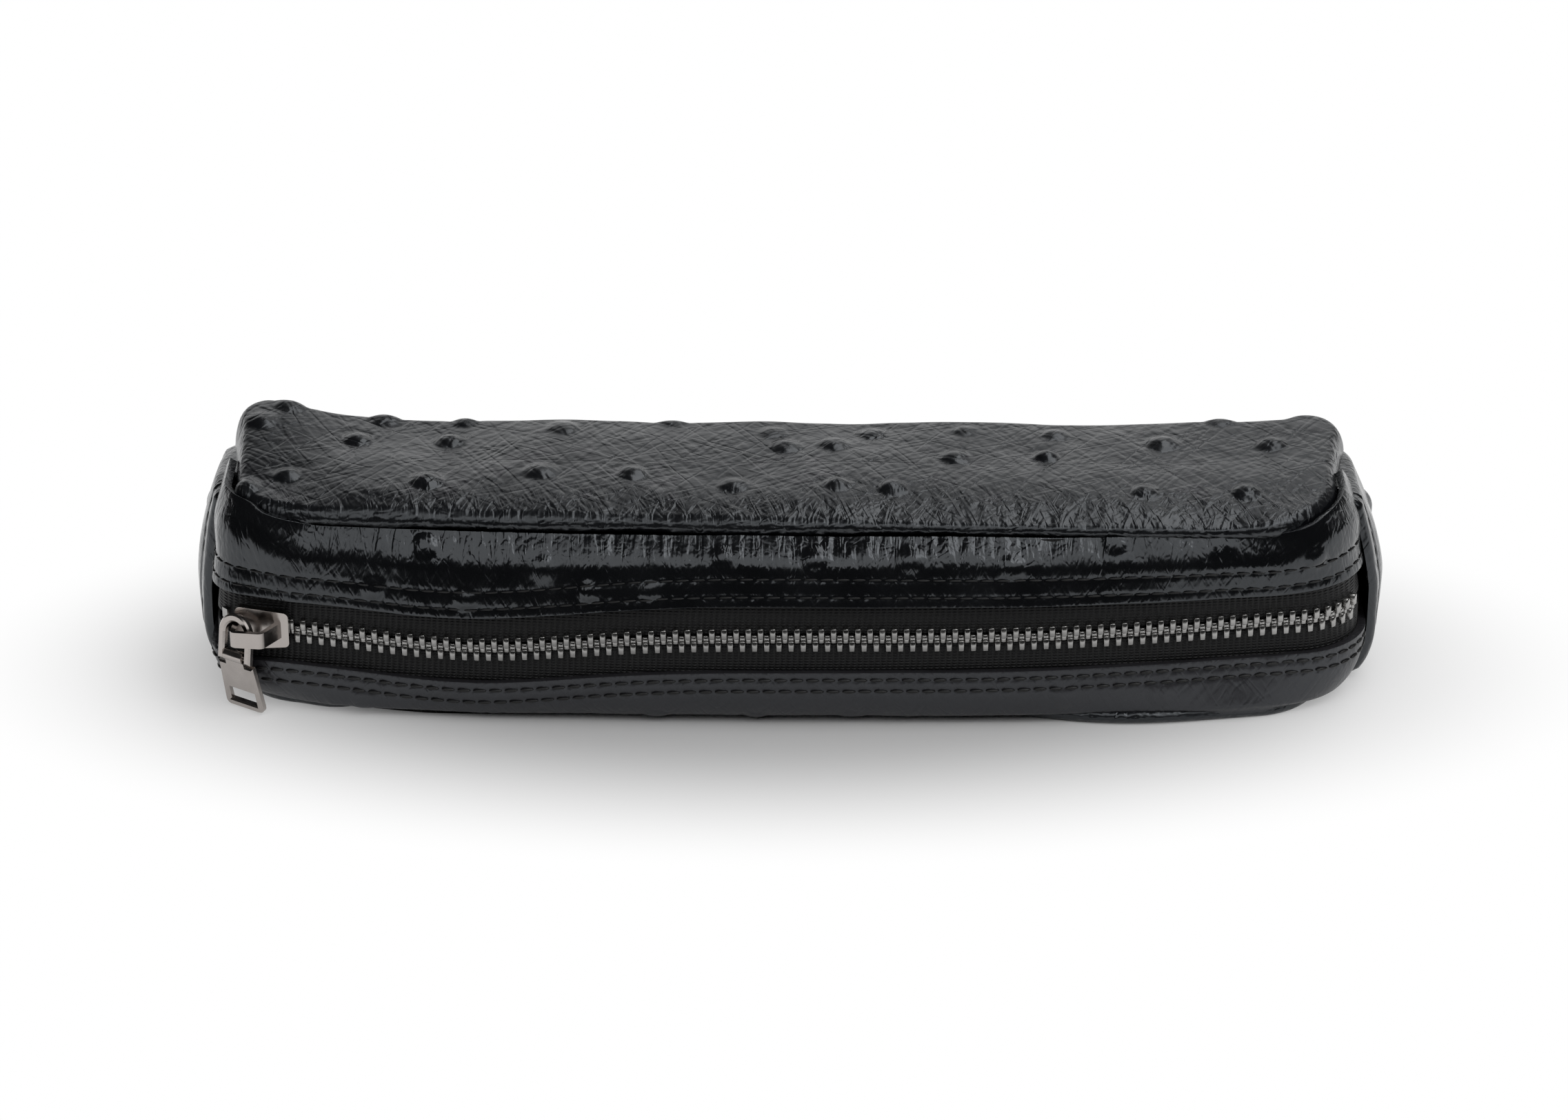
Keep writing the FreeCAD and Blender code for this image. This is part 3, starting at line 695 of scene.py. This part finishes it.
def row_phase(at, side, row):
    """How many stitches along its row each station is."""
    stations = np.linspace(HEM_LEFT - TUCK, HEM_RIGHT + TUCK, ROW_SAMPLES)
    line = wall(stations, rise(stations, np.full(ROW_SAMPLES, side * (BAND_EDGE + row))), BAND_LIFT)
    return np.interp(at, stations, run_along(line)) / STITCH_STEP


def band_lift(at, up_mm, up, side):
    """How far a band's skin stands off the zip's own surface: sewn rows dip, and the seam pulls it in."""
    lift = np.full(len(at), BAND_LIFT)
    edge = np.abs(up_mm) - BAND_EDGE
    for row in BAND_ROWS[side]:
        pucker = 0.5 + 0.5 * np.cos(2 * math.pi * row_phase(at, side, row))
        dip = STITCH_DIP + STITCH_PUCKER * pucker
        lift = lift - dip * np.exp(-((edge - row) / STITCH_VALLEY) ** 2)
    shoulder = smooth(np.abs(station(at, zip_points)[:, 0]), 80, 92)
    drawn = (BAND_LIFT + 0.8) * (1 - 0.8 * shoulder) if side > 0 else BAND_LIFT - 0.7
    puff = SHOULDER_PUFF * shoulder * smooth(up, 0.45, 0.85)
    return lift + puff - drawn * smooth(np.abs(up), DRAWN_FROM[side], 1.0)


def band_points(u, v, side):
    """Skin of a band: u goes along the zip and under both hems, v up from its lower edge."""
    at = HEM_LEFT - TUCK + u * (HEM_RIGHT - HEM_LEFT + 2 * TUCK)
    share = v if side > 0 else 1 - v
    share = 1 - (1 - share) ** 1.35
    edge = rise(at, np.full(len(u), side * BAND_EDGE))
    ends = smooth(np.abs(station(at, zip_points)[:, 0]), 78, 91)
    top = BAND_TOP + (1 - BAND_TOP) * ends if side > 0 else -1.0
    up = edge + (top - edge) * share
    return wall(at, up, band_lift(at, up * room(at, up), up, side))


print("stitch rows above and below the zip", BAND_ROWS)

# %% Laying the zip bands
BAND_QUILL_HEIGHT, BAND_QUILL_RADIUS = {1: 0.5, -1: 0.35}, 2.5
BAND_TIGHT = {1: (24, 32), -1: (-7, -3)}
# The lower band's leather has a paler base colour, which is a painted reflection of the floor.
BAND_LEATHER = {1: band_leather, -1: lower_leather_painted_reflection}
BAND_QUILLS = {
    1: [(-61, 33.7), (-41, 28.3), (-11, 31.3), (5, 30.4), (21, 30.4), (38, 28.5), (-70, 24.5), (-54, 22.5),
        (-33, 24.2), (-23, 24.2), (55, 34), (73, 32.9), (91, 28.5)],
    -1: [(-72, 2.9), (47, 5.7), (64, 5.7), (83, 10.2), (-22, 1.5), (-5, 1.6), (11, 1.7)]}
bands = {}
for side, name in ((1, "upper"), (-1, "lower")):
    band = lay(name + "_zip_band_leather", 620, 36, lambda u, v: band_points(u, v, side))
    points, normals = places(band)
    free = smooth(93 - np.abs(points[:, 0]), 3, 14)
    tight = smooth(side * points[:, 2], *BAND_TIGHT[side])
    fine = lumps(points * (1 / 1.4, 1 / 8, 1 / 8), 1, 17 + side)
    slack = 0.4 * lumps(points, 17, 5 + side) + 0.13 * lumps(points, 6, side) + 0.2 * tight * fine
    slack = slack if side > 0 else 0.4 * slack
    place(band, points + normals * (slack * free)[:, None])
    mark(band, free * (0.25 + 0.75 * tight) if side > 0 else 0.2 * free)
    centres = [(x, -22, z) for x, z in BAND_QUILLS[side]]
    raise_quills(band, centres, 11 + side, BAND_QUILL_HEIGHT[side], BAND_QUILL_RADIUS)
    thicken(band, LEATHER, BAND_RIM)
    finish(band, BAND_LEATHER[side], side, "black_leather", name + "_zip_band")
    bands[side] = band

# %% [markdown]
# The gusset is one strip round both ends and the back. At the front its edges are folded double and sewn
# down over the ends of the bands.

# %% Gusset
GUSSET_LIFT = 3.3
HEM_LIFT = 0.35
HEM_WIDTH = 4.5
HEM_FOLD, HEM_FOLD_DEPTH = 1.2, 1.6
HEM_ROW, HEM_DIP = 1, 0.25
END_BULGE = 2.0
GUSSET_RIM = 0.4
GUSSET_QUILLS, GUSSET_QUILL_HEIGHT = 60, 0.7


def gusset_points(u, v):
    """Gusset skin: u goes round the back, with columns closer together at the two folded hems."""
    even = u - 0.7 * np.sin(2 * math.pi * u) / (2 * math.pi)
    at = HEM_RIGHT + even * (HEM_LEFT + STATIONS - HEM_RIGHT)
    up = -1 + 2 * v
    from_edge = np.minimum(at - HEM_RIGHT, HEM_LEFT + STATIONS - at) * SPACING
    lift = GUSSET_LIFT + HEM_LIFT * (1 - smooth(from_edge, HEM_WIDTH - 0.3, HEM_WIDTH + 0.6))
    lift = lift + END_BULGE * np.abs(station(at, outward)[:, 0]) * (1 - up ** 2) * smooth(from_edge, 0, 9)
    fold = np.clip(1 - from_edge / HEM_FOLD, 0, 1)
    lift = lift - HEM_FOLD_DEPTH * (1 - np.sqrt(1 - fold ** 2))
    lift = lift - HEM_DIP * np.exp(-((from_edge - HEM_WIDTH + HEM_ROW) / 0.5) ** 2)
    lift = lift - (GUSSET_LIFT + 0.5) * smooth(np.abs(up), 0.82, 1.0)
    return wall(at, up, lift)


gusset = lay("base_gusset_leather", 560, 56, gusset_points)
points, normals = places(gusset)
slack = 0.45 * lumps(points, 16, 21) + 0.15 * lumps(points, 6, 4)
place(gusset, points + normals * slack[:, None])
random.seed(31)
gusset_quills = []
for i in range(GUSSET_QUILLS):
    u, v = np.array([random.uniform(0.16, 0.84)]), np.array([random.uniform(0.1, 0.9)])
    gusset_quills.append(tuple(gusset_points(u, v)[0]))
raise_quills(gusset, gusset_quills, 32, GUSSET_QUILL_HEIGHT)
thicken(gusset, LEATHER, GUSSET_RIM)
finish(gusset, band_leather, "case", "black_leather", "base_gusset")

# %% [markdown]
# Woven polyester zip tape and a plain twill lining. Both are cloth, so each is a thin sheet laid behind
# the leather on the same wall. The eye sees a dull ribbed surface. Its threads are two crossed waves along
# the case and up it, drawn coarser than real ones so that they show in the render. The same waves set the
# colour, which is painted shade: darker in the hollows between threads and lighter where they cross on top.

# %% Cloth materials
WAVE_PERIOD = 2 * math.pi / 20
THREAD_HEIGHT = 0.25


def woven_painted_shade(name, colour, thread_mm, rib_mm, rough):
    """Woven cloth: bumps where threads along the case cross threads up it, with painted shade darkening the
    hollows between them.
    """
    material, tree, shader, where = new_material(name)
    waves = []
    for direction, size in (("X", rib_mm), ("Z", thread_mm)):
        scale = per_metre(size) * WAVE_PERIOD
        wave = node(tree, "TexWave", {"Vector": where.outputs["Object"], "Scale": scale, "Distortion": 0.3,
                                      "Detail": 1.0}, bands_direction=direction)
        waves.append(wave.outputs["Fac"])
    total = node(tree, "Math", {0: waves[0], 1: waves[1]}, operation="MULTIPLY")
    bump = node(tree, "Bump", {"Height": total.outputs[0], "Distance": THREAD_HEIGHT * MM, "Strength": 1.0})
    # Painted shade: the colour runs from dark in the weave's hollows to light on its raised crossings.
    dark, light = (linear(shade) for shade in colour)
    tint = node(tree, "Mix", {0: total.outputs[0], 6: dark, 7: light}, data_type="RGBA")
    tree.links.new(tint.outputs[2], shader.inputs["Base Color"])
    tree.links.new(bump.outputs[0], shader.inputs["Normal"])
    shader.inputs["Roughness"].default_value = rough
    return material


zip_cloth = woven_painted_shade("woven_polyester_tape", ("#020203", "#1b1b1d"), 0.5, 1.0, 0.6)
lining_cloth = woven_painted_shade("cotton_twill_lining", ("#0d0d0e", "#1c1c1e"), 0.6, 0.6, 0.85)
print("cloths", zip_cloth.name, lining_cloth.name)

# %% Tapes and facings
TAPE_EDGE, TAPE_REACH = 0.9, 11.4
TAPE_LIFT, TAPE_THICKNESS = 0.3, 0.6
TAPE_COLUMNS, TAPE_ROWS = 300, 10
FACING_SPAN = {1: (5.9, 16.5), -1: (3.3, 13.9)}
FACING_LIFT, FACING_MARGIN = -0.5, -10
FACING_COLUMNS, FACING_ROWS = 260, 8
LINING_THICKNESS = 0.5


def cloth(piece, thickness):
    """Give a laid grid of cloth its thickness."""
    points, _ = places(piece)
    thicken(piece, thickness, 0)


def strip_points(u, v, side, low, high, lift, margin):
    """Cloth strip beside the zip, between two heights above or below it."""
    at = HEM_LEFT - margin + u * (HEM_RIGHT - HEM_LEFT + 2 * margin)
    share = v if side > 0 else 1 - v
    up = rise(at, side * (low + (high - low) * share))
    return wall(at, up, np.full(len(u), lift))


for side, name in ((1, "upper"), (-1, "lower")):
    tape = lay(name + "_zip_tape_cloth", TAPE_COLUMNS, TAPE_ROWS,
               lambda u, v: strip_points(u, v, side, TAPE_EDGE, TAPE_REACH, TAPE_LIFT, TUCK))
    cloth(tape, TAPE_THICKNESS)
    finish(tape, zip_cloth, side, "zip_tape", name + "_zip_tape")
    facing = lay(name + "_zip_facing_cloth", FACING_COLUMNS, FACING_ROWS,
                 lambda u, v: strip_points(u, v, side, *FACING_SPAN[side], FACING_LIFT, FACING_MARGIN))
    cloth(facing, LINING_THICKNESS)
    finish(facing, lining_cloth, side, "lining", name + "_zip_facing")

# %% Linings
LINING_MARGIN, LINING_UP, LINING_LIFT = 22, 0.92, 0.6
LINING_COLUMNS, LINING_ROWS = 300, 24
SIDE_FROM, SIDE_INSET = 0.27, 3
UPPER_DROP, LOWER_HEIGHT = 2.6, 2.7
SIDE_ROWS = 16


def gusset_lining_points(u, v):
    """Sheet inside the gusset, short of its hems and its seams."""
    at = HEM_RIGHT + LINING_MARGIN + u * (HEM_LEFT + STATIONS - HEM_RIGHT - 2 * LINING_MARGIN)
    return wall(at, -LINING_UP + 2 * LINING_UP * v, np.full(len(u), LINING_LIFT))


gusset_lining = lay("gusset_lining_cloth", LINING_COLUMNS, LINING_ROWS, gusset_lining_points)
cloth(gusset_lining, LINING_THICKNESS)
finish(gusset_lining, lining_cloth, "case", "lining", "gusset_lining")


def side_lining_points(u, v, drop):
    """Sheet under a panel: the panel's loops from inside its roll to the middle."""
    inner = SIDE_FROM + (1 - SIDE_FROM) * v
    return panel_points(u, inner, drop, drop, lambda foot, out: 0 * foot[:, 0] - SIDE_INSET)


upper_lining = lay("upper_side_lining_cloth", LINING_COLUMNS, SIDE_ROWS, lambda u, v: side_lining_points(
    u, v, lambda x, y: upper_height(x, y) - UPPER_DROP))
close(upper_lining)
cloth(upper_lining, LINING_THICKNESS)
finish(upper_lining, lining_cloth, "case", "lining", "upper_side_lining")
lower_lining = lay("lower_side_lining_cloth", LINING_COLUMNS, SIDE_ROWS, lambda u, v: side_lining_points(
    u, v, lambda x, y: LOWER_HEIGHT + 0 * x))
close(lower_lining)
cloth(lower_lining, LINING_THICKNESS)
finish(lower_lining, lining_cloth, "case", "lining", "lower_side_lining")

# %% [markdown]
# The teeth are pressed brass with a black nickel finish, polished where they rub, and the slider and its
# pull are cast zinc with a gunmetal plating. Both give a clear, slightly dulled reflection. The slider, its
# pull and the three stops keep their CAD shape and only get their metal here.

# %% Metal materials
def plated(name, dark, light, rough, scratch_mm):
    """Plated metal: a clear reflection with faint handling marks."""
    material, tree, shader, where = new_material(name)
    marks = node(tree, "TexNoise", {"Vector": where.outputs["Object"], "Scale": per_metre(scratch_mm),
                                    "Detail": 4.0})
    tint = node(tree, "Mix", {0: marks.outputs[0], 6: linear(dark), 7: linear(light)}, data_type="RGBA")
    dull = node(tree, "MapRange", {"Value": marks.outputs[0], "From Min": 0.3, "From Max": 0.7,
                                   "To Min": rough - 0.06, "To Max": rough + 0.08})
    bump = node(tree, "Bump", {"Height": marks.outputs[0], "Distance": 0.01 * MM, "Strength": 0.5})
    tree.links.new(tint.outputs[2], shader.inputs["Base Color"])
    tree.links.new(dull.outputs[0], shader.inputs["Roughness"])
    tree.links.new(bump.outputs[0], shader.inputs["Normal"])
    shader.inputs["Metallic"].default_value = 1.0
    return material


tooth_metal = plated("black_nickel_brass_teeth", "#8c8b8a", "#b4b3b1", 0.22, 1.5)
pull_metal = plated("gunmetal_plated_zinc", "#9c9692", "#b6b0ac", 0.2, 2.0)
for metal, names in ((pull_metal, ("slider_body", "pull_link", "pull_tab")),
                     (tooth_metal, ("upper_top_stop", "lower_top_stop", "bottom_stop"))):
    for name in names:
        finishes = frame["nodes"][name].data.materials
        finishes.clear()
        finishes.append(metal)
    print(metal.name, "on", *names)

# %% [markdown]
# Each tooth has a bar clamped on the tape and a head that locks between its neighbours. One is modelled
# from two bevelled blocks and copied along the chain at the real pitch, the lower row half a pitch on.

# %% Zip teeth
PITCH = 2.05
SLIDER_X = -88.6
FIRST_TOOTH = -1.4
TEETH = {1: 93, -1: 92}
BAR_SIZE, BAR_RISE, BAR_ROUND = (0.95, 2.4, 1.9), 1.15, 0.1
HEAD_SIZE, HEAD_DROP, HEAD_ROUND = (0.95, 1.7, 1.3), 0.1, 0.15
TOOTH_STEP = 0.4

chain = zip_line[ARC_POINTS:4 * ARC_POINTS]
chain_length = run_along(chain)
on_arc = (chain[:, 1] < -12) & (chain[:, 0] < 0)
slider_at = np.interp(SLIDER_X, chain[on_arc, 0], chain_length[on_arc])


def chain_place(distance):
    """Matrix of a place on the zip: x along it, y inwards, z up, at a distance from the slider."""
    def spot(along):
        """Place in plan at a length along the chain."""
        return np.array([np.interp(along, chain_length, chain[:, i]) for i in (0, 1)])
    here, before, after = (spot(slider_at + distance + step) for step in (0, -TOOTH_STEP, TOOTH_STEP))
    along = Vector((*(after - before), ZIP_SLOPE * (after - before)[0])).normalized()
    inwards = Vector((-along.y, along.x, 0)).normalized()
    turn = Matrix((along, inwards, along.cross(inwards))).transposed().to_4x4()
    return Matrix.Translation(Vector((here[0], here[1], zip_height(here[0]))) * MM) @ turn


def copies(name, model, matrices):
    """One piece made of copies of a model, which is deleted."""
    bpy.ops.object.select_all(action="DESELECT")
    for matrix in matrices:
        copy = bpy.data.objects.new(name, model.data.copy())
        bpy.context.collection.objects.link(copy)
        copy.data.transform(matrix)
        copy.select_set(True)
    bpy.context.view_layer.objects.active = copy
    bpy.ops.object.join()
    bpy.data.objects.remove(model)
    piece = bpy.context.object
    piece.name = name
    return piece


def block(size, centre, rounding):
    """Rounded block, with its sizes and centre in millimetres."""
    bpy.ops.object.select_all(action="DESELECT")
    bpy.ops.mesh.primitive_cube_add(size=1, location=(0, 0, 0))
    made = bpy.context.object
    made.scale = Vector(size) * MM
    made.location = Vector(centre) * MM
    bpy.ops.object.transform_apply(location=True, rotation=True, scale=True)
    bpy.ops.object.mode_set(mode="EDIT")
    bpy.ops.mesh.select_all(action="SELECT")
    bpy.ops.mesh.bevel(offset=rounding * MM, segments=1, affect="EDGES")
    bpy.ops.object.mode_set(mode="OBJECT")
    return made


def tooth(side):
    """One tooth of the upper or lower row, at the origin."""
    bar = block(BAR_SIZE, (0, 0, side * BAR_RISE), BAR_ROUND)
    head = block(HEAD_SIZE, (0, 0, -side * HEAD_DROP), HEAD_ROUND)
    head.select_set(True)
    bar.select_set(True)
    bpy.context.view_layer.objects.active = bar
    bpy.ops.object.join()
    bpy.ops.object.shade_smooth_by_angle(angle=math.radians(50))
    return bpy.context.object


for side, name, offset in ((1, "upper", 0), (-1, "lower", PITCH / 2)):
    matrices = [chain_place(FIRST_TOOTH + offset + PITCH * i) for i in range(TEETH[side])]
    row = copies(name + "_zip_teeth_row", tooth(side), matrices)
    finish(row, tooth_metal, side, "zip_metal", name + "_zip_teeth")

# %% [markdown]
# The stitches are bonded nylon thread, lying in the dips that they pull into the leather. The eye sees
# dark beads with a soft shine. One stitch is a stretched sphere, copied along each row and laid on the
# nearest point of the leather.

# %% Thread material
THREAD_TWIST = 0.5
thread, tree, shader, where = new_material("bonded_nylon_thread")
twist = node(tree, "TexNoise", {"Vector": where.outputs["Object"], "Scale": per_metre(THREAD_TWIST),
                                "Detail": 2.0})
dark, light = linear("#060607"), linear("#121213")
tint = node(tree, "Mix", {0: twist.outputs[0], 6: dark, 7: light}, data_type="RGBA")
tree.links.new(tint.outputs[2], shader.inputs["Base Color"])
shader.inputs["Roughness"].default_value = 0.45
print("thread", thread.name)

# %% Stitches
STITCH_LENGTH = 2.3
STITCH_RADIUS = {1: 0.2, -1: 0.33}
STITCH_RISE = 0.08
HEM_STITCH_RADIUS = 0.2
HEM_SPAN = -0.8, 0.86
BAND_SAMPLES, HEM_SAMPLES = 1500, 300


def stitch(thick):
    """One stitch, a short round thread that dives into the leather at both ends."""
    bpy.ops.object.select_all(action="DESELECT")
    bpy.ops.mesh.primitive_uv_sphere_add(segments=8, ring_count=6, radius=1, location=(0, 0, 0))
    made = bpy.context.object
    made.rotation_euler = (0, math.pi / 2, 0)
    made.scale = (thick * MM, thick * MM, STITCH_LENGTH / 2 * MM)
    bpy.ops.object.transform_apply(location=True, rotation=True, scale=True)
    bpy.ops.object.shade_smooth()
    return made


def stitch_row(line, leather, above):
    """Matrices of stitches along a line of points near a piece of leather, each laid on its skin."""
    skin, normals = places(leather)
    finder = kdtree.KDTree(len(skin))
    for i, point in enumerate(skin):
        finder.insert(point, i)
    finder.balance()
    length = run_along(line)
    found = []
    for distance in np.arange(STITCH_STEP, length[-1] - STITCH_STEP, STITCH_STEP) + STITCH_STEP / 2:
        here, before, after = (Vector([np.interp(distance + step, length, line[:, i]) for i in range(3)])
                               for step in (0, -1, 1))
        along = (after - before).normalized()
        nearest, number, _ = finder.find(here)
        skin_out = Vector(normals[number])
        across = skin_out.cross(along).normalized()
        outwards = along.cross(across)
        turn = Matrix((along, across, outwards)).transposed().to_4x4()
        here = here + outwards * ((nearest - here).dot(outwards) + above)
        found.append(Matrix.Translation(here * MM) @ turn)
    return found


for side, name in ((1, "upper"), (-1, "lower")):
    matrices = []
    at = np.linspace(HEM_LEFT, HEM_RIGHT, BAND_SAMPLES)
    for row in BAND_ROWS[side]:
        up = rise(at, np.full(BAND_SAMPLES, side * (BAND_EDGE + row)))
        matrices += stitch_row(wall(at, up, BAND_LIFT), bands[side], STITCH_RISE)
    sewing = copies(name + "_zip_band_stitches", stitch(STITCH_RADIUS[side]), matrices)
    finish(sewing, thread, side, "black_leather")

matrices = []
row_in = (HEM_WIDTH - HEM_ROW) / SPACING
for at in (HEM_RIGHT + row_in, HEM_LEFT + STATIONS - row_in):
    up = np.linspace(*HEM_SPAN, HEM_SAMPLES)
    line = wall(np.full(HEM_SAMPLES, at), up, np.full(HEM_SAMPLES, GUSSET_LIFT))
    matrices += stitch_row(line, gusset, STITCH_RISE)
hem_sewing = copies("base_gusset_hem_stitches", stitch(HEM_STITCH_RADIUS), matrices)
finish(hem_sewing, thread, "case", "black_leather")

# %% [markdown]
# A plain studio with two soft lamps, one overhead and one above in front. The floor takes the shadow near
# the case and is white to the camera further out. The room is white to the camera. In reflections it is
# light only at the back, so the top of the case catches a broad sheen and its front stays dark.

# %% Lamps
LAMP_AIM = Vector((0, 0, 0.02))
# Each lamp is its place and size in metres and its power in watts.
OVERHEAD_LAMP = (0.35, 0.08, 0.82), (1.3, 0.44), 3.6
FRONT_LAMP = (0.15, -0.60, 0.68), (2.0, 0.56), 4.2


def place_lamp(location, size, watts):
    """Rectangular lamp that faces the case."""
    bpy.ops.object.light_add(type="AREA", location=location)
    lamp = bpy.context.object
    lamp.data.shape = "RECTANGLE"
    lamp.data.size, lamp.data.size_y = size
    lamp.data.energy = watts
    lamp.rotation_euler = (LAMP_AIM - Vector(location)).to_track_quat("-Z", "Y").to_euler()
    print("lamp of", watts, "W at", location)


place_lamp(*OVERHEAD_LAMP)
place_lamp(*FRONT_LAMP)

# %% Floor
FLOOR_SIZE, FLOOR_MIDDLE = 6, (0, 2.91, 0)
# The case's shadow lies in an ellipse: these are one over its half axes in metres, and where it fades.
SHADOW_SHAPE = (8.4, 16.5, 0.0)
SHADOW_FROM, SHADOW_TO = 0.5, 1.25


def seen_rays(tree):
    """Camera rays, and the sum of camera and mirror rays, for a surface that only they see as white."""
    light_path = node(tree, "LightPath")
    from_camera, from_mirror = light_path.outputs["Is Camera Ray"], light_path.outputs["Is Glossy Ray"]
    return from_camera, node(tree, "Math", {0: from_camera, 1: from_mirror}, operation="ADD").outputs[0]


bpy.ops.object.select_all(action="DESELECT")
bpy.ops.mesh.primitive_plane_add(size=FLOOR_SIZE, location=FLOOR_MIDDLE)
floor = bpy.context.object
bpy.ops.object.transform_apply(location=True, rotation=False, scale=False)
floor.name = "studio_floor"
material, tree, shader, where = new_material("matt_white_floor")
shader.inputs["Base Color"].default_value = linear("#f4f4f4")
shader.inputs["Roughness"].default_value = 0.9
_, seen = seen_rays(tree)
flat = node(tree, "Mapping", {"Vector": where.outputs["Object"], "Scale": SHADOW_SHAPE})
distance = node(tree, "VectorMath", {0: flat.outputs[0]}, operation="LENGTH")
far = node(tree, "MapRange", {"Value": distance.outputs["Value"], "From Min": SHADOW_FROM,
                              "From Max": SHADOW_TO}, interpolation_type="SMOOTHSTEP")
white = node(tree, "Math", {0: far.outputs[0], 1: seen}, operation="MULTIPLY")
glow = node(tree, "Emission", {"Color": (1, 1, 1, 1), "Strength": 1.0})
mix = node(tree, "MixShader", {0: white.outputs[0], 1: shader.outputs[0], 2: glow.outputs[0]})
tree.links.new(mix.outputs[0], tree.nodes["Material Output"].inputs["Surface"])
floor.data.materials.append(material)
print("floor", FLOOR_SIZE, "m square")

# %% Room
# How light the room is in front and at the back, and where along Y it turns from one to the other.
ROOM_FRONT, ROOM_BACK = 0.03, 0.85
BACK_FROM, BACK_TO = 0.6, 0.97
LIGHT_SHARE = 0.25

world = bpy.data.worlds.new("white_room")
bpy.context.scene.world = world
world.use_nodes = True
tree = world.node_tree
from_camera, seen = seen_rays(tree)
direction = node(tree, "SeparateXYZ", {0: node(tree, "TexCoord").outputs["Generated"]})
depth = node(tree, "MapRange", {"Value": direction.outputs["Y"], "From Min": BACK_FROM, "From Max": BACK_TO,
                                "To Min": ROOM_FRONT, "To Max": ROOM_BACK}, interpolation_type="SMOOTHSTEP")
level = node(tree, "MapRange", {"Value": seen, "To Min": LIGHT_SHARE, "To Max": 1.0})
shaded = node(tree, "Math", {0: depth.outputs[0], 1: level.outputs[0]}, operation="MULTIPLY")
strength = node(tree, "Math", {0: shaded.outputs[0], 1: from_camera}, operation="MAXIMUM")
surround = tree.nodes["Background"]
surround.inputs["Color"].default_value = (1, 1, 1, 1)
tree.links.new(strength.outputs[0], surround.inputs["Strength"])
bpy.context.scene.view_settings.view_transform = "Standard"
print("room", world.name)
